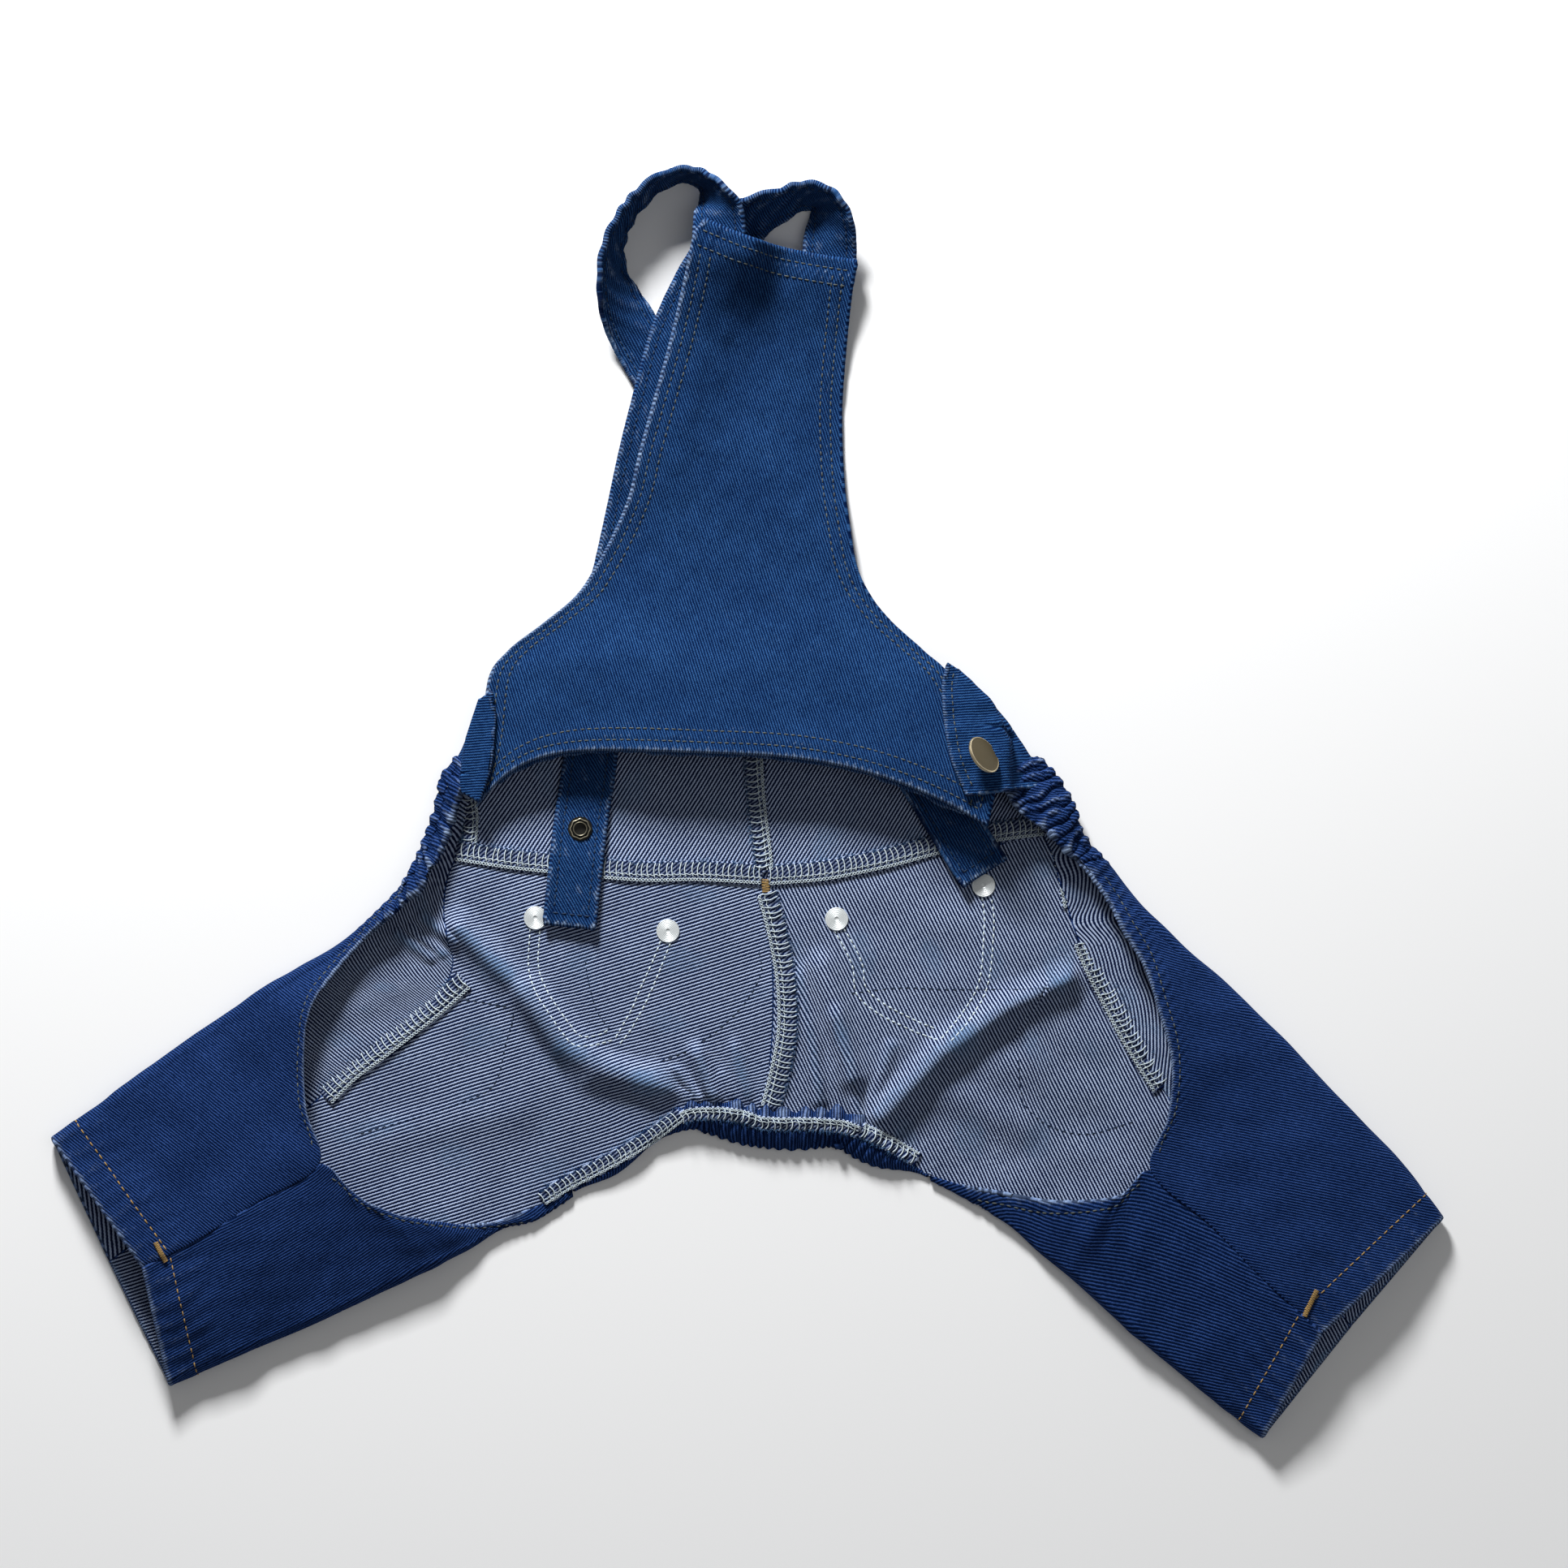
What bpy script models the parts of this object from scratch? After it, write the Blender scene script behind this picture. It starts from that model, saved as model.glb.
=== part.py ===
"""Dog overalls in denim, lying on a flat surface with the belly side up.

X runs to the right as one looks down on the garment, Y from the legs to the shoulder straps, Z up.
The pieces are worked out from the point where the centre seam meets the yoke seams, and the whole
garment is then moved so that the middle of its underside is the origin. All lengths are in metres.
"""

import math
from collections import namedtuple

import bpy
import numpy as np
from mathutils import Matrix, Vector
from mathutils.bvhtree import BVHTree

# Outline of the trousers, from the seam crossing
REACH_LEFT = 0.2436
REACH_RIGHT = 0.2319
DROP_LEFT = 0.1714
DROP_RIGHT = 0.1894
CROTCH_DROP = 0.0789
CENTRE_SEAM_BOW = 0.003
WAIST_RISE = 0.0750
YOKE_SEAM_BOW = 0.0022

# Bib and straps
BIB_FOOT = 0.1720
BIB_LENGTH = 0.2072
BIB_THICKNESS = 0.0020
BIB_RISE = 0.0150
BIB_HEM_HEIGHT = 0.0250
BIB_BEND_LEFT = 6.0
BIB_BEND_RIGHT = 2.4
STRAP_WIDTH = 0.0165
STRAP_THICKNESS = 0.0020

# Cloth, folds and seams
CLOTH = 0.0011
GAP = 0.0003
SEAM_GAP = 0.0006
LEG_FOLD_HEIGHT = 0.0060
LEG_BULGE = 0.0055
FRONT_FULL_FOLD = 0.0090
SEAT_FULL_FOLD = 0.0300
FOLD_FROM = 0.36
FOLD_TO = 0.64
LEAST_FOLD_RADIUS = 0.00075
FOLD_SHARE = 0.35
BULGE_SHARE = 0.30
SEAT_FOLD_WIDTH = 0.0090
SEAT_FOLD_HEIGHT = 0.0038
PLATEAU_FALL = 0.0380
LEAST_LIFT = 0.00005
YOKE_HALF_SPAN = 0.0600
MOST_SEAM_SHARE = 0.3
OVERLOCK_WIDTH = 0.0070
OVERLOCK_THICKNESS = 0.0010
CASING_WIDTH = 0.0105
CASING_THICKNESS = 0.0045
CASING_GATHER = 0.0007

# Pockets and metal parts
POCKET_HEIGHT = 0.0450
RIVET_DIAMETER = 0.0080
RIVET_THICKNESS = 0.0008
RIVET_SHANK = 0.0026
RIVET_CLEARANCE = 0.0003
SNAP_DIAMETER = 0.0137
SNAP_HEIGHT = 0.0026
SNAP_POST = 0.0050
SNAP_TILT = math.radians(48)
SNAP_HEADING = math.radians(38)
STUD_DIAMETER = 0.0080
STUD_HOLE = 0.0034
STUD_THICKNESS = 0.0016

ROWS_PER_STATION = 2
FRONT_COLUMNS = 12
SEAT_COLUMNS = 15
YOKE_COLUMNS = 9
BIB_COLUMNS = 12
TAB_COLUMNS = 12
CASING_RINGS = 31
ROUND_SIDES = 16

# Each station runs across one leg. The x of each point is a share of the reach and the y a share of
# the drop, both counted outwards and down. seam is the side seam, on the floor. near is the front's
# inner edge, on top: the inseam, then the rim of the opening. fold is the front's outer fold. back
# is the seat's own inner edge and turn its fold, where they differ from near.
Station = namedtuple("Station", "seam near fold back turn")

LEFT_STATIONS = [
    Station((0.920, 0.755), (0.870, 0.765), (1.000, 0.510), None, (0.835, 1.000)),
    Station((0.820, 0.650), (0.795, 0.710), (0.932, 0.442), None, (0.745, 0.945)),
    Station((0.720, 0.540), (0.710, 0.635), (0.862, 0.368), None, (0.650, 0.890)),
    Station((0.635, 0.440), (0.625, 0.560), (0.800, 0.303), None, (0.560, 0.830)),
    Station((0.570, 0.360), (0.643, 0.450), (0.742, 0.250), (0.570, 0.625), (0.480, 0.775)),
    Station((0.500, 0.285), (0.646, 0.345), (0.692, 0.204), (0.500, 0.670), (0.415, 0.730)),
    Station((0.455, 0.220), (0.638, 0.252), (0.648, 0.165), (0.405, 0.685), (0.370, 0.690)),
    Station((0.438, 0.160), (0.605, 0.180), (0.603, 0.128), (0.325, 0.650), (0.315, 0.668)),
    Station((0.445, 0.110), (0.570, 0.122), (0.560, 0.082), (0.220, 0.575), None),
    Station((0.450, 0.065), (0.536, 0.078), (0.526, 0.036), (0.105, 0.450), None),
    Station((0.450, 0.025), (0.505, 0.040), (0.500, -0.005), None, None),
    Station((0.445, -0.015), (0.485, 0.015), (0.490, -0.040), None, None),
    Station((0.435, -0.050), (0.470, -0.020), (0.480, -0.070), None, None),
    Station((0.420, -0.110), (0.450, -0.080), (0.465, -0.120), None, None),
    Station((0.410, -0.160), (0.435, -0.145), (0.455, -0.180), None, None),
]

RIGHT_STATIONS = [
    Station((0.865, 0.800), (0.820, 0.810), (1.000, 0.605), None, (0.735, 1.000)),
    Station((0.775, 0.665), (0.735, 0.715), (0.935, 0.500), None, (0.655, 0.925)),
    Station((0.680, 0.525), (0.655, 0.615), (0.855, 0.400), None, (0.580, 0.850)),
    Station((0.595, 0.385), (0.570, 0.520), (0.775, 0.295), None, (0.505, 0.770)),
    Station((0.555, 0.310), (0.595, 0.420), (0.720, 0.230), (0.520, 0.565), (0.455, 0.715)),
    Station((0.520, 0.240), (0.600, 0.320), (0.675, 0.175), (0.430, 0.575), (0.405, 0.665)),
    Station((0.490, 0.170), (0.580, 0.225), (0.630, 0.130), (0.350, 0.560), (0.360, 0.615)),
    Station((0.470, 0.120), (0.560, 0.150), (0.595, 0.090), (0.285, 0.545), (0.290, 0.565)),
    Station((0.455, 0.075), (0.530, 0.090), (0.565, 0.055), (0.205, 0.510), None),
    Station((0.445, 0.030), (0.510, 0.040), (0.535, 0.010), (0.130, 0.435), None),
    Station((0.435, -0.005), (0.485, -0.005), (0.510, -0.030), None, None),
    Station((0.425, -0.050), (0.460, -0.040), (0.485, -0.060), None, None),
    Station((0.410, -0.090), (0.440, -0.065), (0.465, -0.095), None, None),
    Station((0.400, -0.130), (0.415, -0.095), (0.455, -0.130), None, None),
    Station((0.385, -0.170), (0.375, -0.130), (0.440, -0.165), None, None),
]

INSEAM_END = 3
TURN_END = 7.5
CASING_STATION = 8.5
CROTCH_STATION = 10
YOKE_STATION = 12

# Side tabs, in the same shares: the edge on top of the bib, the outer fold and the join to the yoke.
TabStation = namedtuple("TabStation", "edge fold join")

LEFT_TAB = [
    TabStation((0.400, -0.165), (0.445, -0.200), (0.405, -0.190)),
    TabStation((0.385, -0.230), (0.430, -0.245), (0.393, -0.240)),
    TabStation((0.380, -0.295), (0.416, -0.297), (0.383, -0.297)),
    TabStation((0.379, -0.340), (0.407, -0.335), (0.377, -0.332)),
    TabStation((0.383, -0.380), (0.400, -0.365), (0.374, -0.366)),
]

RIGHT_TAB = [
    TabStation((0.297, -0.160), (0.432, -0.180), (0.378, -0.185)),
    TabStation((0.275, -0.225), (0.390, -0.230), (0.343, -0.240)),
    TabStation((0.265, -0.298), (0.360, -0.286), (0.309, -0.293)),
    TabStation((0.263, -0.355), (0.325, -0.337), (0.271, -0.342)),
    TabStation((0.268, -0.395), (0.285, -0.384), (0.235, -0.384)),
]

# The bib from its hem to its top: x as a share of its foot, y of its length, from the middle of its
# hem line. bow lifts the middle of a row, as a share of the hem's height. rise is how far the left
# edge, the middle and the right edge stand up, as shares of the bib's rise.
BibRow = namedtuple("BibRow", "left right bow rise")

BIB_ROWS = [
    BibRow((-0.570, 0.030), (0.440, 0.000), 0.85, (0.25, 0.80, 0.65)),
    BibRow((-0.555, 0.120), (0.452, 0.100), 0.45, (0.25, 0.65, 0.65)),
    BibRow((-0.545, 0.235), (0.375, 0.230), 0.15, (0.20, 0.50, 0.45)),
    BibRow((-0.505, 0.285), (0.310, 0.285), 0.05, (0.12, 0.42, 0.25)),
    BibRow((-0.435, 0.330), (0.250, 0.330), 0.00, (0.08, 0.34, 0.12)),
    BibRow((-0.370, 0.375), (0.210, 0.370), 0.00, (0.04, 0.26, 0.06)),
    BibRow((-0.330, 0.425), (0.180, 0.420), 0.00, (0.00, 0.18, 0.00)),
    BibRow((-0.295, 0.480), (0.165, 0.490), 0.00, (0.00, 0.12, 0.00)),
    BibRow((-0.265, 0.540), (0.155, 0.555), 0.00, (0.00, 0.08, 0.00)),
    BibRow((-0.245, 0.610), (0.150, 0.630), 0.00, (0.00, 0.04, 0.00)),
    BibRow((-0.220, 0.685), (0.150, 0.700), 0.00, (0.00, 0.00, 0.00)),
    BibRow((-0.185, 0.790), (0.160, 0.805), 0.00, (0.00, 0.00, 0.00)),
    BibRow((-0.155, 0.895), (0.170, 0.880), 0.00, (0.00, 0.00, 0.00)),
    BibRow((-0.130, 1.000), (0.180, 0.925), 0.00, (0.00, 0.00, 0.00)),
]
BIB_HEM_Y = 0.0206

# Strap routes from the sewn end to the free end: x as a share of the bib's foot, y of its length.
# level counts strap thicknesses below the strap, and roll is how far its outer edge turns up.
StrapPoint = namedtuple("StrapPoint", "x y level roll")

LEFT_STRAP = [
    StrapPoint(-0.090, 0.955, 4.3, 6),
    StrapPoint(-0.091, 1.005, 4.0, 18),
    StrapPoint(-0.101, 1.037, 2.2, 50),
    StrapPoint(-0.121, 1.060, 0.8, 66),
    StrapPoint(-0.152, 1.070, 0.0, 70),
    StrapPoint(-0.197, 1.063, 0.0, 70),
    StrapPoint(-0.244, 1.035, 0.0, 68),
    StrapPoint(-0.281, 0.995, 0.0, 66),
    StrapPoint(-0.302, 0.949, 0.0, 60),
    StrapPoint(-0.302, 0.903, 0.0, 48),
    StrapPoint(-0.286, 0.858, 0.0, 26),
    StrapPoint(-0.262, 0.816, 0.0, 8),
    StrapPoint(-0.233, 0.772, 0.0, 0),
    StrapPoint(-0.194, 0.716, 0.0, 0),
    StrapPoint(-0.100, 0.582, 0.0, 0),
    StrapPoint(0.029, 0.434, 0.0, 0),
    StrapPoint(0.158, 0.287, 0.0, 0),
    StrapPoint(0.267, 0.146, 0.0, 0),
    StrapPoint(0.352, 0.032, 0.0, 0),
    StrapPoint(0.401, -0.035, 0.0, 0),
    StrapPoint(0.436, -0.080, 0.0, 0),
]

RIGHT_STRAP = [
    StrapPoint(0.128, 0.905, 1.2, 0),
    StrapPoint(0.130, 0.957, 1.2, 8),
    StrapPoint(0.131, 0.997, 0.8, 30),
    StrapPoint(0.115, 1.028, 0.2, 50),
    StrapPoint(0.078, 1.036, 0.0, 55),
    StrapPoint(0.037, 1.023, 0.0, 50),
    StrapPoint(-0.011, 1.005, 0.0, 34),
    StrapPoint(-0.048, 0.984, 0.0, 20),
    StrapPoint(-0.090, 0.941, 0.0, 12),
    StrapPoint(-0.128, 0.889, 0.6, 5),
    StrapPoint(-0.176, 0.800, 1.3, 0),
    StrapPoint(-0.215, 0.681, 1.3, 0),
    StrapPoint(-0.239, 0.601, 0.8, 0),
    StrapPoint(-0.260, 0.520, 0.0, 0),
    StrapPoint(-0.281, 0.440, 0.0, 0),
    StrapPoint(-0.310, 0.334, 0.0, 0),
    StrapPoint(-0.334, 0.220, 0.0, 0),
    StrapPoint(-0.349, 0.095, 0.0, 0),
    StrapPoint(-0.365, 0.005, 0.0, 0),
    StrapPoint(-0.376, -0.075, 0.0, 0),
    StrapPoint(-0.388, -0.168, 0.0, 0),
]
STUD_AT = (-0.367, -0.010)
SNAP_AT = (0.320, -0.229)
TAB_CLEARANCE = 0.0060

# Folds that stand up from the seat: start, end, and the fold's width and height as shares of the
# seat fold's own. The places are shares of the reach and drop of that side.
Fold = namedtuple("Fold", "start end width height")

LEFT_FOLDS = [
    Fold((0.430, 0.090), (0.340, 0.220), 1.00, 0.80),
    Fold((0.340, 0.220), (0.240, 0.375), 1.10, 1.00),
    Fold((0.240, 0.375), (0.150, 0.400), 1.00, 0.90),
    Fold((0.095, 0.340), (0.075, 0.420), 0.60, 0.60),
]
RIGHT_FOLDS = [
    Fold((0.445, 0.180), (0.360, 0.225), 1.00, 0.80),
    Fold((0.360, 0.225), (0.265, 0.310), 1.10, 1.00),
    Fold((0.265, 0.310), (0.175, 0.430), 1.00, 1.00),
    Fold((0.085, 0.150), (0.115, 0.275), 0.80, 0.60),
    Fold((0.115, 0.275), (0.130, 0.350), 0.80, 0.60),
]

# Pockets: middle of the top edge as shares of reach and drop, turn in degrees, width in metres.
Pocket = namedtuple("Pocket", "middle turn width")
LEFT_POCKET = Pocket((0.229, 0.083), -5.6, 0.0500)
RIGHT_POCKET = Pocket((0.215, 0.035), 12.9, 0.0560)
POCKET_OUTLINE = [(0.50, 0.08), (0.50, -0.35), (0.30, -0.80), (0.0, -1.0)]
RIVET_INSET = 0.0022
PLATEAU_MARGIN = 0.0040

Side = namedtuple("Side", "name sign reach drop stations tab folds pocket")
LEFT = Side("left", -1, REACH_LEFT, DROP_LEFT, LEFT_STATIONS, LEFT_TAB, LEFT_FOLDS, LEFT_POCKET)
RIGHT = Side("right", 1, REACH_RIGHT, DROP_RIGHT, RIGHT_STATIONS, RIGHT_TAB, RIGHT_FOLDS, RIGHT_POCKET)

SEAT_LIFT = RIVET_THICKNESS + CLOTH + 2 * GAP

DENIM = (0.072, 0.115, 0.200)
DENIM_INSIDE = (0.330, 0.370, 0.450)
THREAD = (0.700, 0.720, 0.640)
BRASS = (0.420, 0.290, 0.110)
ALUMINIUM = (0.780, 0.780, 0.780)
GUNMETAL = (0.130, 0.110, 0.090)


def material(name, colour, roughness=0.9, metallic=0.0):
    made = bpy.data.materials.get(name) or bpy.data.materials.new(name)
    made.use_nodes = True
    shader = made.node_tree.nodes["Principled BSDF"]
    shader.inputs["Base Color"].default_value = (*colour, 1.0)
    shader.inputs["Roughness"].default_value = roughness
    shader.inputs["Metallic"].default_value = metallic
    return made


def add_mesh(name, points, faces, finish):
    mesh = bpy.data.meshes.new(name)
    mesh.from_pydata([tuple(map(float, point)) for point in points], [], faces)
    mesh.materials.append(finish)
    obj = bpy.data.objects.new(name, mesh)
    bpy.context.scene.collection.objects.link(obj)
    obj.parent = bpy.data.objects["garment"]
    return obj


def add_sheet(name, grid, thickness, finish):
    """A cloth wall: an open grid of points, rows by columns, made solid by a Solidify modifier."""
    rows, columns = grid.shape[:2]
    faces = [
        (i * columns + j, i * columns + j + 1, (i + 1) * columns + j + 1, (i + 1) * columns + j)
        for i in range(rows - 1)
        for j in range(columns - 1)
    ]
    obj = add_mesh(name, grid.reshape(-1, 3), faces, finish)
    wall = obj.modifiers.new("wall", "SOLIDIFY")
    wall.thickness = thickness
    wall.offset = 0.0
    obj.data.shade_smooth()
    return obj


def add_loft(name, rings, finish, closed_ends=True):
    """A closed solid through rings of the same number of points."""
    count = len(rings[0])
    faces = []
    for i in range(len(rings) - 1):
        for j in range(count):
            k = (j + 1) % count
            faces.append((i * count + j, (i + 1) * count + j, (i + 1) * count + k, i * count + k))
    if closed_ends:
        faces.append(tuple(range(count)))
        last = (len(rings) - 1) * count
        faces.append(tuple(last + j for j in reversed(range(count))))
    return add_mesh(name, [point for ring in rings for point in ring], faces, finish)


def add_turned(name, profile, finish):
    """A round solid: a closed profile of (radius, height) pairs turned about Z."""
    rings = []
    for k in range(ROUND_SIDES):
        angle = 2 * math.pi * k / ROUND_SIDES
        rings.append([(r * math.cos(angle), r * math.sin(angle), z) for r, z in profile])
    rings.append(rings[0])
    obj = add_loft(name, rings, finish, closed_ends=False)
    weld = obj.modifiers.new("weld", "WELD")
    weld.merge_threshold = 0.00001
    return obj


def smooth_curve(points, per_span):
    """Catmull-Rom curve through rows of numbers, per_span steps to each span."""
    points = np.asarray(points, float)
    first = 2 * points[0] - points[1]
    last = 2 * points[-1] - points[-2]
    padded = np.vstack([first, points, last])
    out = []
    for i in range(len(points) - 1):
        a, b, c, d = padded[i:i + 4]
        for k in range(per_span):
            t = k / per_span
            cubic = (2 * b + (c - a) * t + (2 * a - 5 * b + 4 * c - d) * t * t
                     + (3 * b - a - 3 * c + d) * t ** 3)
            out.append(0.5 * cubic)
    out.append(points[-1])
    return np.array(out)


def resample(line, count, trim=0.0, marks=None, hold=0.0):
    """Points along a polyline, with trim cut from both ends.

    They are evenly spaced, or held to marks: (share of the points, index in the line) pairs.
    """
    line = np.asarray(line, float)
    steps = np.linalg.norm(np.diff(line, axis=0), axis=1)
    along = np.concatenate([[0.0], np.cumsum(steps)])
    wanted = np.linspace(0, along[-1], count)
    if marks:
        shares, places = zip(*marks)
        held = np.interp(np.linspace(0, 1, count), shares, along[list(places)])
        wanted = wanted * (1 - hold) + held * hold
    wanted = np.clip(wanted, trim, along[-1] - trim)
    return np.stack([np.interp(wanted, along, line[:, k]) for k in range(line.shape[1])], axis=1)


def smooth_step(value):
    value = np.clip(value, 0.0, 1.0)
    return value * value * (3 - 2 * value)


def place(side, share):
    """A point of one side's table, as x and y in metres."""
    return np.array([side.sign * side.reach * share[0], -side.drop * share[1]])


def centre_seam(share):
    """The seam between the seat panels, from the yoke seams at 0 to the crotch at 1."""
    return np.array([CENTRE_SEAM_BOW * math.sin(math.pi * share), -CROTCH_DROP * share])


def pocket_point(side, across, down):
    """A point of a pocket, across and down from the middle of its top edge."""
    middle = place(side, side.pocket.middle)
    turn = math.radians(side.pocket.turn)
    right = np.array([math.cos(turn), math.sin(turn)])
    up = np.array([-math.sin(turn), math.cos(turn)])
    return middle + across * right + down * up


def plateau(x, y):
    """1 over the pockets, where the seat lies on them, falling to 0 round them."""
    best = 0.0
    for side in (LEFT, RIGHT):
        middle = pocket_point(side, 0.0, -POCKET_HEIGHT / 2)
        away_x = abs(x - middle[0]) - side.pocket.width / 2 - PLATEAU_MARGIN
        away_y = abs(y - middle[1]) - POCKET_HEIGHT / 2 - PLATEAU_MARGIN - RIVET_INSET
        away = math.hypot(max(away_x, 0.0), max(away_y, 0.0))
        best = max(best, float(smooth_step(1 - away / PLATEAU_FALL)))
    return best


def fold_height(x, y):
    """How far the seat's folds stand up here."""
    here = np.array([x, y])
    best = 0.0
    for side in (LEFT, RIGHT):
        for fold in side.folds:
            start = place(side, fold.start)
            run = place(side, fold.end) - start
            share = np.clip(np.dot(here - start, run) / np.dot(run, run), 0.0, 1.0)
            away = np.linalg.norm(here - start - share * run)
            bell = float(smooth_step(1 - away / (SEAT_FOLD_WIDTH * fold.width)))
            best = max(best, bell * SEAT_FOLD_HEIGHT * fold.height)
    return best


def lower_level(x, y):
    """Height of the middle of the cloth that lies on the floor or on the pockets."""
    lift = SEAT_LIFT * plateau(x, y) + fold_height(x, y)
    return CLOTH / 2 + (lift if lift > LEAST_LIFT else 0.0)


def section(near, fold, seam, crest, count, full_fold, cover=None):
    """Cross-section from the near edge over the outer fold and back under to the seam."""
    width = np.linalg.norm(fold - near)
    grown = min(width / full_fold, 1.0)
    radius = min(max(LEG_FOLD_HEIGHT / 2 * grown, LEAST_FOLD_RADIUS), FOLD_SHARE * width)
    crest = max(crest - 2 * radius, 0.0) if cover else min(crest, BULGE_SHARE * width) * grown
    out_top = (fold - near) / max(width, 1e-9)
    out_low = (fold - seam) / max(np.linalg.norm(fold - seam), 1e-9)
    line = []
    for share in np.linspace(0, 1, 13):
        x, y = near + (fold - radius * out_top - near) * share
        z = 2 * radius + crest * math.cos(share * math.pi / 2)
        line.append((x, y, z))
    for share in np.linspace(0, 1, 9)[1:]:
        angle = math.pi / 2 - math.pi * share
        out = out_top * (1 - share) + out_low * share
        x, y = fold - radius * out + radius * math.cos(angle) * out
        line.append((x, y, radius + radius * math.sin(angle)))
    start = fold - radius * out_low
    for share in np.linspace(0, 1, 25)[1:]:
        x, y = start + (seam - start) * share
        line.append((x, y, 0.0))
    line = [(x, y, z + lower_level(x, y)) for x, y, z in line]
    if cover:
        line = [(x, y, max(z, cover(x, y)) if z > radius else z) for x, y, z in line]
    marks = ((0.0, 0), (FOLD_FROM, 12), (FOLD_TO, 20), (1.0, len(line) - 1))
    hold = float(smooth_step(width / FRONT_FULL_FOLD))
    return resample(line, count, SEAM_GAP / 2, marks, hold)


def station_rows(side):
    """The stations of one side in metres, with the rows between them."""
    rows = []
    for number, station in enumerate(side.stations):
        back = station.back or station.near
        if number >= CROTCH_STATION:
            share = max(YOKE_STATION - number, 0) / (YOKE_STATION - CROTCH_STATION)
            back = (centre_seam(share) / (side.sign * side.reach, -side.drop))
        turn = station.turn or back
        points = (station.seam, station.near, station.fold, back, turn)
        rows.append(np.concatenate([place(side, point) for point in points]))
    rows = smooth_curve(rows, ROWS_PER_STATION)
    for number in range(len(rows)):
        station = number / ROWS_PER_STATION
        if station <= INSEAM_END:
            rows[number, 6:8] = rows[number, 2:4]
        if CROTCH_STATION <= station <= YOKE_STATION:
            share = (YOKE_STATION - station) / (YOKE_STATION - CROTCH_STATION)
            rows[number, 6:8] = centre_seam(share)
        if station > TURN_END:
            rows[number, 8:10] = rows[number, 6:8]
    return rows


def yoke_seam(side, share):
    """The seam between yoke and seat, from the centre seam at 0 to the side seam at 1."""
    end = place(side, side.stations[YOKE_STATION].seam)
    point = end * share
    point[1] -= YOKE_SEAM_BOW * math.sin(math.pi * share)
    return point


def make_legs(side):
    rows = station_rows(side)
    yoke_row = YOKE_STATION * ROWS_PER_STATION
    fronts = [section(row[2:4], row[4:6], row[0:2], LEG_BULGE, FRONT_COLUMNS, FRONT_FULL_FOLD)
              for row in rows]
    step = np.linalg.norm(rows[yoke_row, 0:2] - rows[yoke_row + 1, 0:2])
    share = min(SEAM_GAP / step, MOST_SEAM_SHARE)
    below = fronts[yoke_row] * (1 - share) + fronts[yoke_row - 1] * share
    above = fronts[yoke_row] * (1 - share) + fronts[yoke_row + 1] * share
    denim = material("denim", DENIM)
    add_sheet("front_" + side.name, np.array(fronts[:yoke_row] + [below]), CLOTH, denim)
    casing = [above] + fronts[yoke_row + 1:]
    add_sheet("side_casing_" + side.name, np.array(casing), CLOTH, denim)
    seats = [section(row[6:8], row[8:10], row[0:2], LEG_BULGE, SEAT_COLUMNS, SEAT_FULL_FOLD)
             for row in rows[:yoke_row]]
    seam = np.array([yoke_seam(side, share) for share in np.linspace(0, 1, 33)])
    seam = resample(seam, SEAT_COLUMNS, SEAM_GAP / 2) - (0.0, SEAM_GAP / 2)
    seats.append(np.array([(x, y, lower_level(x, y)) for x, y in seam]))
    add_sheet("seat_" + side.name, np.array(seats), CLOTH, material("denim_inside", DENIM_INSIDE))


def side_edge(side):
    """The yoke's outer edge, from the yoke seam up along the casing and the tab."""
    points = [place(side, station.seam) for station in side.stations[YOKE_STATION:]]
    points += [place(side, station.join) for station in side.tab]
    return resample(smooth_curve(points, 4), YOKE_COLUMNS)


def make_yoke(side):
    """A patch between the yoke seam, the centre seam, the side edge and the waist edge."""
    columns = rows = YOKE_COLUMNS
    outer = side_edge(side)
    top_centre = np.array([0.0, WAIST_RISE])
    grid = np.zeros((rows, columns, 3))
    for i in range(rows):
        rise = i / (rows - 1)
        for j in range(columns):
            across = j / (columns - 1)
            low = yoke_seam(side, across)
            high = top_centre * (1 - across) + outer[-1] * across
            inner = top_centre * rise
            corners = ((1 - across) * (1 - rise) * yoke_seam(side, 0) + across * (1 - rise) * outer[0]
                       + (1 - across) * rise * top_centre + across * rise * outer[-1])
            point = low * (1 - rise) + high * rise + inner * (1 - across) + outer[i] * across - corners
            grid[i, j, :2] = point
    middle = grid[:, :, :2].mean(axis=(0, 1))
    grid[0, :, 1] += SEAM_GAP / 2
    grid[:, 0, 0] += side.sign * SEAM_GAP / 2
    grid[:, -1, :2] += (middle - grid[:, -1, :2]) * SEAM_GAP / YOKE_HALF_SPAN
    for i in range(rows):
        for j in range(columns):
            grid[i, j, 2] = lower_level(*grid[i, j, :2])
    add_sheet("yoke_" + side.name, grid, CLOTH, material("denim_inside", DENIM_INSIDE))


class Ground:
    """The top of the named pieces, felt from above."""

    def __init__(self, names):
        bpy.context.view_layer.update()
        graph = bpy.context.evaluated_depsgraph_get()
        points, faces = [], []
        for name in names:
            obj = bpy.data.objects[name]
            mesh = obj.evaluated_get(graph).to_mesh()
            start = len(points)
            points += [obj.matrix_world @ vertex.co for vertex in mesh.vertices]
            faces += [[start + k for k in face.vertices] for face in mesh.polygons]
        self.tree = BVHTree.FromPolygons(points, faces)

    def top(self, x, y, start=0.2):
        hit = self.tree.ray_cast(Vector((x, y, start)), Vector((0, 0, -1)))
        return hit[0].z if hit[0] else 0.0

    def highest(self, x, y, reach):
        steps = (-reach, -reach / 2, 0.0, reach / 2, reach)
        return max(self.top(x + dx, y + dy) for dx in steps for dy in steps)


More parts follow.
